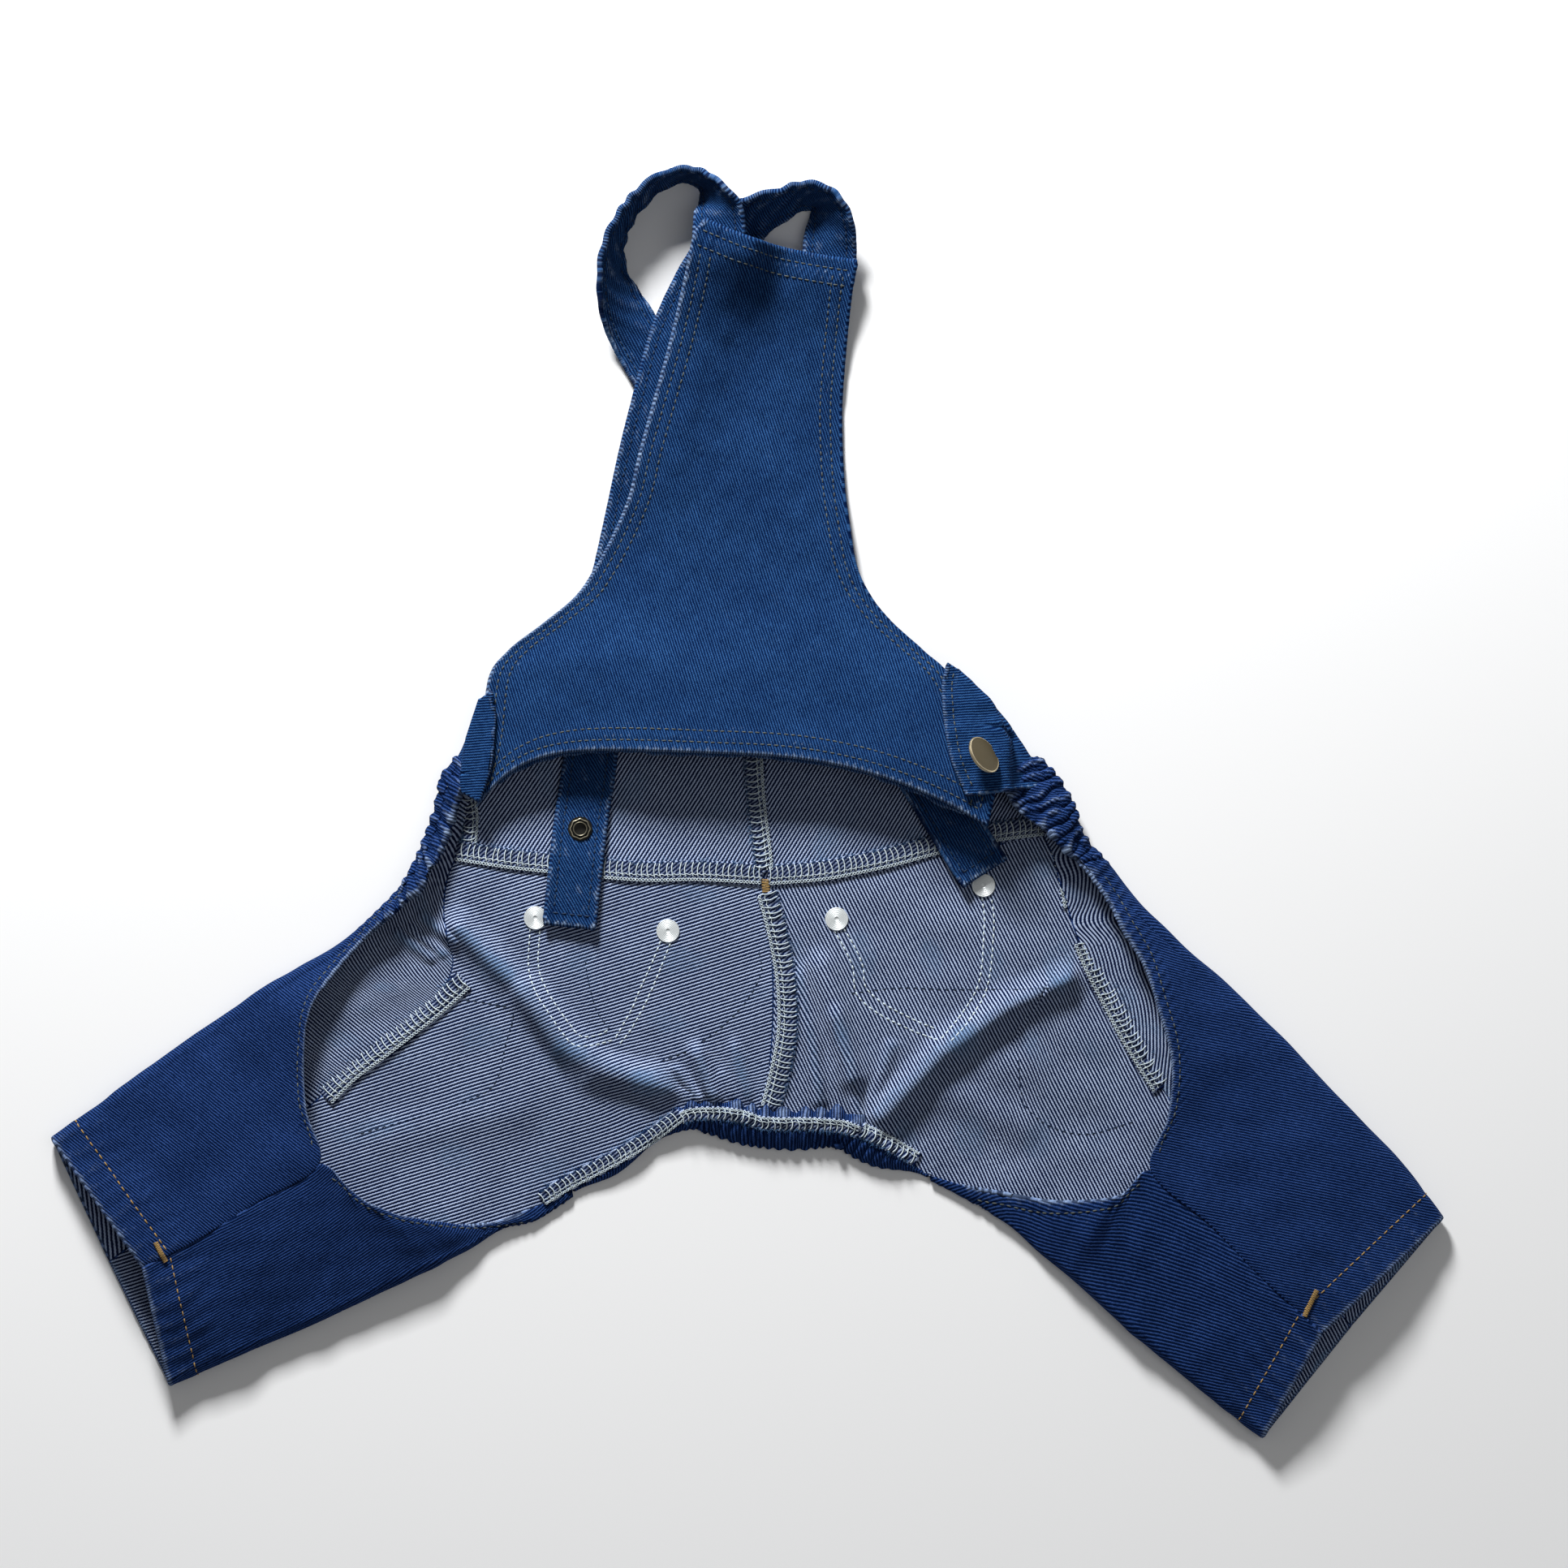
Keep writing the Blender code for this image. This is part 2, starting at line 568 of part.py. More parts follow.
class LowerLayer:
    """The top of the lower cloth, also where an upper layer hides it."""

    def top(self, x, y):
        return lower_level(x, y) + CLOTH / 2 + GAP


def drape(plan, ground, thickness, relax=6):
    """Heights for a grid of x and y points, so that every face between them clears the ground."""
    rows, columns = plan.shape[:2]
    fine = 4
    across = np.linspace(0, columns - 1, (columns - 1) * fine + 1)
    down = np.linspace(0, rows - 1, (rows - 1) * fine + 1)
    felt = np.zeros((len(down), len(across)))
    for a, v in enumerate(down):
        i = min(int(v), rows - 2)
        for b, u in enumerate(across):
            j = min(int(u), columns - 2)
            s, t = v - i, u - j
            x, y = ((1 - s) * (1 - t) * plan[i, j] + (1 - s) * t * plan[i, j + 1]
                    + s * (1 - t) * plan[i + 1, j] + s * t * plan[i + 1, j + 1])
            felt[a, b] = ground.top(x, y)
    needed = np.zeros((rows, columns))
    for i in range(rows):
        for j in range(columns):
            window = felt[max(i * fine - fine, 0):i * fine + fine + 1,
                          max(j * fine - fine, 0):j * fine + fine + 1]
            needed[i, j] = window.max()
    needed += GAP + thickness / 2
    height = needed.copy()
    for _ in range(relax):
        padded = np.pad(height, 1, mode="edge")
        mean = (padded[:-2, 1:-1] + padded[2:, 1:-1] + padded[1:-1, :-2] + padded[1:-1, 2:]) / 4
        height = np.maximum(needed, mean)
    return height


def lay_strip(name, route, width, thickness, ground, finish):
    """A flat strip along a route of x and y points, lying on the ground below it."""
    ahead = np.gradient(route, axis=0)
    ahead /= np.linalg.norm(ahead, axis=1)[:, None]
    sideways = np.stack([ahead[:, 1], -ahead[:, 0]], axis=1)
    plan = np.stack([route - sideways * width / 2, route, route + sideways * width / 2], axis=1)
    height = drape(plan, ground, thickness, relax=1)
    return add_sheet(name, np.dstack([plan, height]), thickness, finish)


def make_overlocks():
    """The overlocked seam allowances that lie on the inner side, over their seams."""
    thread = material("overlock", THREAD)
    half = OVERLOCK_WIDTH / 2 + 2 * GAP
    cloth = Ground(["yoke_left", "yoke_right", "seat_left", "seat_right"])
    for side in (LEFT, RIGHT):
        seam = np.array([yoke_seam(side, share) for share in np.linspace(0, 1, 33)])
        name = "overlock_yoke_" + side.name
        lay_strip(name, resample(seam, 15, half), OVERLOCK_WIDTH, OVERLOCK_THICKNESS, cloth, thread)
    upper = resample([(0.0, half + GAP), (-CENTRE_SEAM_BOW, WAIST_RISE / 2), (0.0, WAIST_RISE - half)], 9)
    lay_strip("overlock_centre_upper", upper, OVERLOCK_WIDTH, OVERLOCK_THICKNESS, cloth, thread)
    lower = np.array([centre_seam(share) for share in np.linspace(0, 1, 21)])
    lower = resample(lower, 13, half + GAP)
    lay_strip("overlock_centre_lower", lower, OVERLOCK_WIDTH, OVERLOCK_THICKNESS, cloth, thread)
    for side in (LEFT, RIGHT):
        rows = station_rows(side)
        start, end = int(3.5 * ROWS_PER_STATION), int(6.5 * ROWS_PER_STATION)
        seam = resample(rows[:, 0:2][start:end], 9)
        name = "overlock_side_" + side.name
        lay_strip(name, seam, OVERLOCK_WIDTH, OVERLOCK_THICKNESS, LowerLayer(), thread)


def make_pocket(side):
    """A patch pocket on the outer side, which the seat lies on."""
    width = side.pocket.width
    half = [(across * width, down * POCKET_HEIGHT) for across, down in POCKET_OUTLINE]
    outline = half + [(-across, down) for across, down in reversed(half[:-1])]
    level = RIVET_THICKNESS + GAP
    rings = []
    for z in (level, level + CLOTH):
        rings.append([(*pocket_point(side, across, down), z) for across, down in outline])
    add_loft("pocket_" + side.name, rings, material("denim", DENIM))


def face_out(obj):
    """Turns a closed mesh's faces outwards."""
    mesh = obj.data
    volume = 0.0
    for face in mesh.polygons:
        corners = [mesh.vertices[k].co for k in face.vertices]
        for k in range(1, len(corners) - 1):
            volume += corners[0].dot(corners[k].cross(corners[k + 1]))
    if volume < 0:
        mesh.flip_normals()


def make_rivets():
    """Rivets through the pockets' top corners: head below, shank through the cloth, back on top."""
    number = 0
    for side in (LEFT, RIGHT):
        seat = Ground(["seat_" + side.name])
        for direction in (-1, 1):
            number += 1
            across = direction * (side.pocket.width / 2 - RIVET_INSET)
            x, y = pocket_point(side, across, 0.0)
            top = seat.highest(x, y, RIVET_DIAMETER / 2) + GAP
            hole = RIVET_SHANK / 2 + RIVET_CLEARANCE
            for name in ("seat_" + side.name, "pocket_" + side.name):
                cut_hole(name, f"rivet_hole_{number}_{name}", x, y, hole, top)
            outer, inner = RIVET_DIAMETER / 2, RIVET_SHANK / 2
            profile = [
                (0.0, 0.0), (outer, 0.0), (outer, RIVET_THICKNESS), (inner, RIVET_THICKNESS),
                (inner, top), (outer, top), (outer * 0.92, top + RIVET_THICKNESS), (0.0, top + RIVET_THICKNESS),
            ]
            rivet = add_turned(f"rivet_{number}", profile, material("aluminium", ALUMINIUM, 0.35, 1.0))
            rivet.location = (x, y, 0.0)


def cut_hole(name, cutter_name, x, y, radius, height):
    profile = [(0.0, -height), (radius, -height), (radius, 2 * height), (0.0, 2 * height)]
    cutter = add_turned(cutter_name, profile, material("cutter", GUNMETAL))
    cutter.location = (x, y, 0.0)
    cutter.hide_render = True
    cutter.display_type = "WIRE"
    hole = bpy.data.objects[name].modifiers.new(cutter_name, "BOOLEAN")
    hole.operation = "DIFFERENCE"
    hole.object = cutter


def strap_rings(table, ground):
    """Rings of four corners along a strap."""
    rows = [(p.x * BIB_FOOT, (p.y * BIB_LENGTH + BIB_HEM_Y), p.level, math.radians(p.roll)) for p in table]
    rows = smooth_curve(rows, 3)
    ahead = np.gradient(rows[:, :2], axis=0)
    ahead /= np.linalg.norm(ahead, axis=1)[:, None]
    outward = np.stack([ahead[:, 1], -ahead[:, 0]], axis=1)
    felt = []
    for (x, y), out in zip(rows[:, :2], outward):
        shares = np.linspace(-0.55, 0.55, 15)
        felt.append(max(ground.top(*((x, y) + out * STRAP_WIDTH * share)) for share in shares))
    felt = np.array(felt)
    padded = np.pad(felt, 1, mode="edge")
    felt = np.maximum(np.maximum(padded[:-2], padded[2:]), felt)
    rings = []
    pitch = STRAP_THICKNESS + 2 * GAP
    for (x, y, level, roll), out, base in zip(rows, outward, felt):
        roll = max(roll, 0.0)
        level = max(level, 0.0)
        height = STRAP_WIDTH / 2 * math.sin(roll) + STRAP_THICKNESS / 2 * math.cos(roll)
        z = base + GAP + level * pitch + height
        wide = np.array([*(out * math.cos(roll)), math.sin(roll)]) * STRAP_WIDTH / 2
        thick = np.array([*(-out * math.sin(roll)), math.cos(roll)]) * STRAP_THICKNESS / 2
        centre = np.array([x, y, z])
        rings.append([centre - wide - thick, centre + wide - thick, centre + wide + thick,
                      centre - wide + thick])
    return rings


def make_straps():
    names = ["yoke_left", "yoke_right", "seat_left", "seat_right"]
    names += [obj.name for obj in bpy.data.objects if obj.name.startswith(("overlock", "rivet_"))
              and not obj.hide_render and "side" not in obj.name]
    ground = Ground(names)
    for name, table in (("strap_left", LEFT_STRAP), ("strap_right", RIGHT_STRAP)):
        strap = add_loft(name, strap_rings(table, ground), material("denim", DENIM))
        face_out(strap)


def make_strap_stud():
    x, y = STUD_AT[0] * BIB_FOOT, STUD_AT[1] * BIB_LENGTH + BIB_HEM_Y
    base = Ground(["strap_right"]).highest(x, y, STUD_DIAMETER / 2) + GAP
    outer, inner = STUD_DIAMETER / 2, STUD_HOLE / 2
    crown = STUD_THICKNESS
    profile = [(inner, 0.0), (outer, 0.0), (outer, crown * 0.4), (outer * 0.85, crown),
               (inner * 1.25, crown), (inner, crown * 0.7), (inner, 0.0)]
    stud = add_turned("strap_stud_right", profile, material("gunmetal", GUNMETAL, 0.4, 1.0))
    stud.location = (x, y, base)


def make_bib():
    table = []
    for row in BIB_ROWS:
        table.append([*row.left, *row.right, row.bow, *row.rise])
    rows = smooth_curve(table, 2)
    columns = BIB_COLUMNS
    plan = np.zeros((len(rows), columns, 2))
    rise = np.zeros((len(rows), columns))
    for i, (lx, ly, rx, ry, bow, left, middle, right) in enumerate(rows):
        for j in range(columns):
            across = j / (columns - 1)
            bend = BIB_BEND_LEFT if across < 0.5 else BIB_BEND_RIGHT
            flat_middle = 1 - abs(2 * across - 1) ** bend
            plan[i, j, 0] = (lx + (rx - lx) * across) * BIB_FOOT
            plan[i, j, 1] = (ly + (ry - ly) * across) * BIB_LENGTH + BIB_HEM_Y
            plan[i, j, 1] += bow * BIB_HEM_HEIGHT * flat_middle
            edge = left + (right - left) * across
            rise[i, j] = edge + (middle - edge) * math.sin(math.pi * across)
    names = [obj.name for obj in bpy.data.objects if obj.type == "MESH" and not obj.hide_render]
    names = [name for name in names if not name.startswith(("front", "side", "pocket", "overlock_side"))]
    height = drape(plan, Ground(names), BIB_THICKNESS) + rise * BIB_RISE
    add_sheet("bib", np.dstack([plan, height]), BIB_THICKNESS, material("denim", DENIM))


def make_tab(side):
    """A folded tab from the waist's side, over the outer fold and onto the bib."""
    rows = [np.concatenate([place(side, point) for point in station]) for station in side.tab]
    rows = smooth_curve(rows, 2)
    bib = Ground(["bib"])
    grid = []
    for row in rows:
        edge = row[0:2]
        crest = bib.highest(*edge, TAB_CLEARANCE) + GAP + CLOTH / 2

        def cover(x, y):
            felt = bib.highest(x, y, TAB_CLEARANCE)
            return felt + GAP + CLOTH / 2 if felt else 0.0

        grid.append(section(edge, row[2:4], row[4:6], crest, TAB_COLUMNS, FRONT_FULL_FOLD, cover))
    add_sheet("side_tab_" + side.name, np.array(grid), CLOTH, material("denim", DENIM))


def make_snap():
    """The cap of the snap on the right tab, on its short post, facing out and up."""
    x, y = place(RIGHT, SNAP_AT)
    tab = Ground(["side_tab_right"])
    cap = SNAP_DIAMETER / 2
    post = SNAP_POST / 2
    stand = SNAP_HEIGHT * 0.5
    profile = [(0.0, 0.0), (post, 0.0), (post, stand), (cap * 0.96, stand), (cap, stand * 1.4),
               (cap * 0.97, SNAP_HEIGHT * 0.9), (cap * 0.7, SNAP_HEIGHT * 1.25), (0.0, SNAP_HEIGHT * 1.4)]
    snap = add_turned("snap_cap_right", profile, material("brass", BRASS, 0.35, 1.0))
    out = Vector((math.cos(SNAP_HEADING), math.sin(SNAP_HEADING), 0.0))
    normal = (out * math.sin(SNAP_TILT) + Vector((0, 0, math.cos(SNAP_TILT)))).normalized()
    turn = normal.to_track_quat("Z", "Y").to_matrix().to_4x4()
    corners = [turn @ Vector(vertex.co) for vertex in snap.data.vertices]
    seat = max(tab.highest(x + corner.x, y + corner.y, GAP) - corner.z for corner in corners)
    snap.matrix_local = Matrix.Translation((x, y, seat + GAP)) @ turn


def make_crotch_casing():
    """The gathered elastic casing that edges the crotch between the legs."""
    first, last = int(CASING_STATION * ROWS_PER_STATION), CROTCH_STATION * ROWS_PER_STATION
    left = station_rows(LEFT)[first:last + 1, 6:8]
    right = station_rows(RIGHT)[first:last + 1, 6:8]
    route = resample(smooth_curve(resample(np.vstack([left, right[-2::-1]]), 7), 6), CASING_RINGS)
    ahead = np.gradient(route, axis=0)
    ahead /= np.linalg.norm(ahead, axis=1)[:, None]
    rings = []
    for number, ((x, y), direction) in enumerate(zip(route, ahead)):
        side = np.array([-direction[1], direction[0]])
        x, y = (x, y) - side * (CASING_WIDTH / 2 + SEAM_GAP)
        swell = CASING_THICKNESS + CASING_GATHER * (-1) ** number
        ring = []
        for angle in np.linspace(0, 2 * math.pi, 9)[:-1]:
            wide = side * CASING_WIDTH / 2 * math.cos(angle)
            ring.append((x + wide[0], y + wide[1], swell / 2 * (1 + math.sin(angle))))
        rings.append(ring)
    face_out(add_loft("crotch_casing", rings, material("denim", DENIM)))


def centre_on_base():
    """Moves the garment so that the middle of its underside is the origin."""
    bpy.context.view_layer.update()
    graph = bpy.context.evaluated_depsgraph_get()
    corners = []
    for obj in bpy.data.objects:
        if obj.type == "MESH" and not obj.hide_render:
            mesh = obj.evaluated_get(graph).to_mesh()
            corners += [obj.matrix_world @ vertex.co for vertex in mesh.vertices]
    corners = np.array(corners)
    low, high = corners.min(axis=0), corners.max(axis=0)
    bpy.data.objects["garment"].location = (-(low[0] + high[0]) / 2, -(low[1] + high[1]) / 2, -low[2])
    bpy.context.view_layer.update()


def main():
    for obj in list(bpy.data.objects):
        bpy.data.objects.remove(obj, do_unlink=True)
    garment = bpy.data.objects.new("garment", None)
    bpy.context.scene.collection.objects.link(garment)
    for side in (LEFT, RIGHT):
        make_legs(side)
        make_yoke(side)
        make_pocket(side)
    make_rivets()
    make_overlocks()
    make_crotch_casing()
    make_straps()
    make_strap_stud()
    make_bib()
    for side in (LEFT, RIGHT):
        make_tab(side)
    make_snap()
    centre_on_base()


main()
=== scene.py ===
# %% [markdown]
# Dog overalls in blue denim, laid flat with the belly side up. One looks through the large belly
# opening onto the pale inner side of the back. The imported solids give every place and height; this
# script sews the visible cloth round them: hems, gathers, overlocked seams, stitches and studs.
# The frame is loaded first.

# %% Load the frame
import math
from collections import namedtuple

import bpy
import numpy as np
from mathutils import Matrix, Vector
from mathutils.bvhtree import BVHTree


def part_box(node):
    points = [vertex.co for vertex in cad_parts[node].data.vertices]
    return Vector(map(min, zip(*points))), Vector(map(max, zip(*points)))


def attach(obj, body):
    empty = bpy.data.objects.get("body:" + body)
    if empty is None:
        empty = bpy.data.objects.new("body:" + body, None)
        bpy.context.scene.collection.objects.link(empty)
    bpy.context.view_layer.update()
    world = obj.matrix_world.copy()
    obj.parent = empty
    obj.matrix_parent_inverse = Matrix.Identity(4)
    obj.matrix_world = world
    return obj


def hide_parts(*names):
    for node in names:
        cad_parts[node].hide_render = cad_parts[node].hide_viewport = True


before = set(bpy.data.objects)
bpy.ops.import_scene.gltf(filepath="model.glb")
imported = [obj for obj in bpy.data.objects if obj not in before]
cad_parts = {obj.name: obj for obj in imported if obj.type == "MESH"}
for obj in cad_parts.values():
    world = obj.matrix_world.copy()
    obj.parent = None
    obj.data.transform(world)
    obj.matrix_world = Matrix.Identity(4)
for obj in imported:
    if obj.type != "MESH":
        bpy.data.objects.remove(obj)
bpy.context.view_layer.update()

# %% [markdown]
# Everything is worked out from the point where the centre seam crosses the yoke seams, as on a
# paper pattern. The two yokes meet there, so their boxes give the point. Places that were read off
# the photograph are pixels of its frame, turned into metres from the same point.

# %% Seam crossing and photograph scale
WAIST_RISE = 0.0750
PIXELS_PER_METRE = 3600.0
CROSSING_PIXEL = (942.0, 1088.0)

crossing_x = (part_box("yoke_left")[1].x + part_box("yoke_right")[0].x) / 2
crossing_y = max(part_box("yoke_left")[1].y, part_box("yoke_right")[1].y) - WAIST_RISE
ORIGIN = np.array([crossing_x, crossing_y, 0.0])
print("seam crossing, mm:", (ORIGIN * 1000).round(2))


def photo(pixels):
    """Photograph pixels as metres from the seam crossing."""
    pixels = np.asarray(pixels, float)
    return (pixels - CROSSING_PIXEL) * (1, -1) / PIXELS_PER_METRE


# %% [markdown]
# The photograph looks straight down. A long lens far above keeps the outline free of perspective.
# The floor is plain and pale, and soft lamps leave gentle shadows, as
# daylight from a window does.

# %% Camera
PHOTO_SIDE = 1932
LENS = 0.200
SENSOR = 0.036
EYE_LEVEL = 0.006
FAR_CLIP = 20.0

view_width = PHOTO_SIDE / PIXELS_PER_METRE
camera_data = bpy.data.cameras.new("camera")
camera_data.lens = LENS * 1000
camera_data.sensor_width = SENSOR * 1000
camera = bpy.data.objects.new("camera", camera_data)
bpy.context.scene.collection.objects.link(camera)
middle = photo((PHOTO_SIDE / 2, PHOTO_SIDE / 2))
camera_height = EYE_LEVEL + view_width * LENS / SENSOR
camera.location = (ORIGIN[0] + middle[0], ORIGIN[1] + middle[1], camera_height)
camera_data.clip_end = FAR_CLIP
bpy.context.scene.camera = camera
print("camera height, m:", round(camera_height, 2))

# %% Floor and lamps
FLOOR_SIZE = 14.0
FLOOR_DROP = 0.0002
FLOOR_COLOUR = (0.90, 0.905, 0.91)
WORLD_STRENGTH = 0.15


def new_material(name, roughness):
    """A material with its shader node."""
    made = bpy.data.materials.new(name)
    made.use_nodes = True
    shader = made.node_tree.nodes["Principled BSDF"]
    shader.inputs["Roughness"].default_value = roughness
    return made, shader


def plain_material(name, colour, roughness):
    made, shader = new_material(name, roughness)
    shader.inputs["Base Color"].default_value = (*colour, 1.0)
    return made


bpy.ops.object.select_all(action="DESELECT")
bpy.ops.mesh.primitive_plane_add(size=FLOOR_SIZE, location=(0.0, 0.0, -FLOOR_DROP))
floor = bpy.context.object
floor.name = "floor"
floor.data.materials.append(plain_material("floor_paper", FLOOR_COLOUR, 0.9))


def add_lamp(name, place, size, power):
    lamp_data = bpy.data.lights.new(name, "AREA")
    lamp_data.size = size
    lamp_data.energy = power
    lamp = bpy.data.objects.new(name, lamp_data)
    lamp.location = place
    lamp.rotation_euler = (Vector((0, 0, 0)) - Vector(place)).to_track_quat("-Z", "Y").to_euler()
    bpy.context.scene.collection.objects.link(lamp)


add_lamp("window_lamp", (-0.34, 1.25, 0.68), 0.30, 41.0)
add_lamp("fill_lamp", (0.60, -0.20, 1.60), 1.20, 2.8)
world = bpy.data.worlds.new("studio")
bpy.context.scene.world = world
world.use_nodes = True
sky = world.node_tree.nodes["Background"]
sky.inputs["Color"].default_value = (1.0, 1.0, 1.0, 1.0)
sky.inputs["Strength"].default_value = WORLD_STRENGTH
bpy.context.scene.view_settings.view_transform = "Standard"
print("lamps:", len(bpy.data.lights))

# %% [markdown]
# Denim is a twill: warp threads float over the weft and step sideways, which draws slanting lines.
# On the outer side the indigo warp shows, on the inner side the pale weft. One node group makes the
# lines, the fine grain, long uneven threads and broad fading for both, and each cloth mixes its own
# colours with them. It reads metres, so the lines have their real pitch on every piece.

# %% Weave group
def new_group(name, inputs, outputs):
    """A shader node group with float and vector inputs, given as (name, kind, value)."""
    group = bpy.data.node_groups.new(name, "ShaderNodeTree")
    for socket_name, kind, value in inputs:
        socket = group.interface.new_socket(socket_name, in_out="INPUT", socket_type=kind)
        if value is not None:
            socket.default_value = value
    for socket_name, kind in outputs:
        group.interface.new_socket(socket_name, in_out="OUTPUT", socket_type=kind)
    return group


class Nodes:
    """Short names for adding and joining nodes in one tree."""

    def __init__(self, tree):
        self.tree = tree

    def add(self, kind, **settings):
        node = self.tree.nodes.new(kind)
        for name, value in settings.items():
            setattr(node, name, value)
        return node

    def link(self, source, target):
        self.tree.links.new(source, target)

    def feed(self, socket, value):
        if isinstance(value, bpy.types.NodeSocket):
            self.link(value, socket)
        else:
            socket.default_value = value

    def math(self, operation, a, b=0.0, clamp=False):
        node = self.add("ShaderNodeMath", operation=operation, use_clamp=clamp)
        self.feed(node.inputs[0], a)
        self.feed(node.inputs[1], b)
        return node.outputs[0]

    def span(self, value, low, high, to_low=0.0, to_high=1.0, smooth=True):
        """The value, with low to high mapped to to_low to to_high."""
        kind = "SMOOTHSTEP" if smooth else "LINEAR"
        node = self.add("ShaderNodeMapRange", interpolation_type=kind)
        for socket, number in zip(node.inputs[:5], (value, low, high, to_low, to_high)):
            self.feed(socket, number)
        return node.outputs["Result"]

    def noise(self, vector, scale, detail=2.0, roughness=0.5):
        node = self.add("ShaderNodeTexNoise")
        self.feed(node.inputs["Vector"], vector)
        node.inputs["Scale"].default_value = scale
        node.inputs["Detail"].default_value = detail
        node.inputs["Roughness"].default_value = roughness
        return node.outputs["Fac"]

    def stretch(self, vector, scale, turn=0.0):
        node = self.add("ShaderNodeMapping")
        self.feed(node.inputs["Vector"], vector)
        node.inputs["Rotation"].default_value = (0.0, 0.0, turn)
        node.inputs["Scale"].default_value = scale
        return node.outputs["Vector"]

    def mix(self, factor, a, b):
        node = self.add("ShaderNodeMix", data_type="RGBA")
        self.feed(node.inputs["Factor"], factor)
        self.feed(node.inputs["A"], a)
        self.feed(node.inputs["B"], b)
        return node.outputs["Result"]


def make_weave_group():
    """Lines run along Y of the given vector, one each pitch along X."""
    group = new_group(
        "twill_weave",
        [("Vector", "NodeSocketVector", None), ("Lines per metre", "NodeSocketFloat", 900.0),
         ("Wander", "NodeSocketFloat", 0.0004), ("Break", "NodeSocketFloat", 0.6)],
        [("Wale", "NodeSocketFloat"), ("Grain", "NodeSocketFloat"), ("Slub", "NodeSocketFloat"),
         ("Fade", "NodeSocketFloat"), ("Height", "NodeSocketFloat")],
    )
    n = Nodes(group)
    into = n.add("NodeGroupInput")
    out = n.add("NodeGroupOutput")
    vector = into.outputs["Vector"]
    apart = n.add("ShaderNodeSeparateXYZ")
    n.link(vector, apart.inputs[0])
    sway = n.math("SUBTRACT", n.noise(vector, 70.0, 3.0), 0.5)
    x = n.math("ADD", apart.outputs["X"], n.math("MULTIPLY", sway, into.outputs["Wander"]))
    turns = n.math("MULTIPLY", x, into.outputs["Lines per metre"])
    wave = n.math("SINE", n.math("MULTIPLY", turns, 2 * math.pi))
    step = n.math("MULTIPLY", apart.outputs["Y"], into.outputs["Lines per metre"])
    slant = n.math("ADD", n.math("MULTIPLY", step, 1.1), turns)
    floats = n.math("SINE", n.math("MULTIPLY", slant, 2 * math.pi))
    grain = n.noise(vector, 2300.0, 2.0, 0.6)
    dash = n.noise(n.stretch(vector, (1.0, 0.30, 1.0)), 1700.0, 1.0)
    warp = n.noise(n.stretch(vector, (1.0, 0.03, 1.0), math.radians(35)), 1500.0, 1.0)
    weft = n.noise(n.stretch(vector, (1.0, 0.03, 1.0), math.radians(-50)), 1100.0, 1.0)
    slub = n.math("MULTIPLY", n.math("ADD", warp, weft), 0.5)
    fade = n.noise(vector, 45.0, 5.0, 0.6)
    raised = n.math("ADD", n.math("MULTIPLY", wave, 0.5), 0.5)
    raised = n.math("ADD", raised, n.math("MULTIPLY", floats, 0.12))
    broken = n.math("MULTIPLY", n.math("SUBTRACT", dash, 0.5), into.outputs["Break"])
    raised = n.math("ADD", raised, broken)
    wale = n.span(raised, 0.30, 0.75)
    n.link(wale, out.inputs["Wale"])
    n.link(grain, out.inputs["Grain"])
    n.link(slub, out.inputs["Slub"])
    n.link(fade, out.inputs["Fade"])
    height = n.math("ADD", n.math("MULTIPLY", raised, 0.7), n.math("MULTIPLY", grain, 0.5))
    n.link(height, out.inputs["Height"])
    return group


WEAVE = make_weave_group()
print("weave nodes:", len(WEAVE.nodes))

# %% [markdown]
# Denim pales where it stands proud and rubs, at hem edges, ridges and puckers. The ditches beside them are darker,
# partly because the indigo is not rubbed there and partly as painted shade. Each cloth mesh carries both as a number
# in its attribute "wear", from -1 in a ditch to 1 on a rubbed edge. A second group turns it into a broken mask of
# rubbed wear and a mask of painted shade in the ditches.

# %% Wear group
def make_wear_and_shade_group():
    group = new_group(
        "rubbed_cloth",
        [("Vector", "NodeSocketVector", None), ("Wear", "NodeSocketFloat", 0.0)],
        [("Rubbed", "NodeSocketFloat"), ("Ditch", "NodeSocketFloat")],
    )
    n = Nodes(group)
    into = n.add("NodeGroupInput")
    out = n.add("NodeGroupOutput")
    speck = n.math("SUBTRACT", n.noise(into.outputs["Vector"], 900.0, 3.0, 0.7), 0.5)
    patch = n.math("SUBTRACT", n.noise(into.outputs["Vector"], 160.0, 2.0), 0.5)
    broken = n.math("ADD", n.math("MULTIPLY", speck, 0.9), n.math("MULTIPLY", patch, 0.5))
    rubbed = n.math("ADD", into.outputs["Wear"], broken)
    n.link(n.span(rubbed, 0.10, 1.05), out.inputs["Rubbed"])
    # The ditch mask is painted shade in grooves, valleys and pleats.
    ditch_shade = n.math("MULTIPLY", into.outputs["Wear"], -1.0)
    ditch_shade = n.math("ADD", ditch_shade, n.math("MULTIPLY", broken, 0.4))
    n.link(n.span(ditch_shade, 0.05, 1.0), out.inputs["Ditch"])
    return group


WEAR_AND_SHADE = make_wear_and_shade_group()
print("wear nodes:", len(WEAR_AND_SHADE.nodes))

# %% [markdown]
# The outer side is dark indigo with slightly paler wales. The inner side is nearly white wales on navy. Both are the
# same cloth, so both read the same unrolled coordinates of their piece. Edges of hems are rubbed pale, and stitch
# ditches are darkened, partly as painted shade. The legs are a little darker than the bib. The cloth has hardly any
# gloss.

# %% Cloth materials
CLOTH_UV = "weave"
CLOTH_ROUGHNESS, CLOTH_GLOSS, CLOTH_RELIEF = 0.92, 0.04, 0.8
THREAD_ROUGHNESS, THREAD_GLOSS, THREAD_MOTTLE = 0.75, 0.15, 420.0


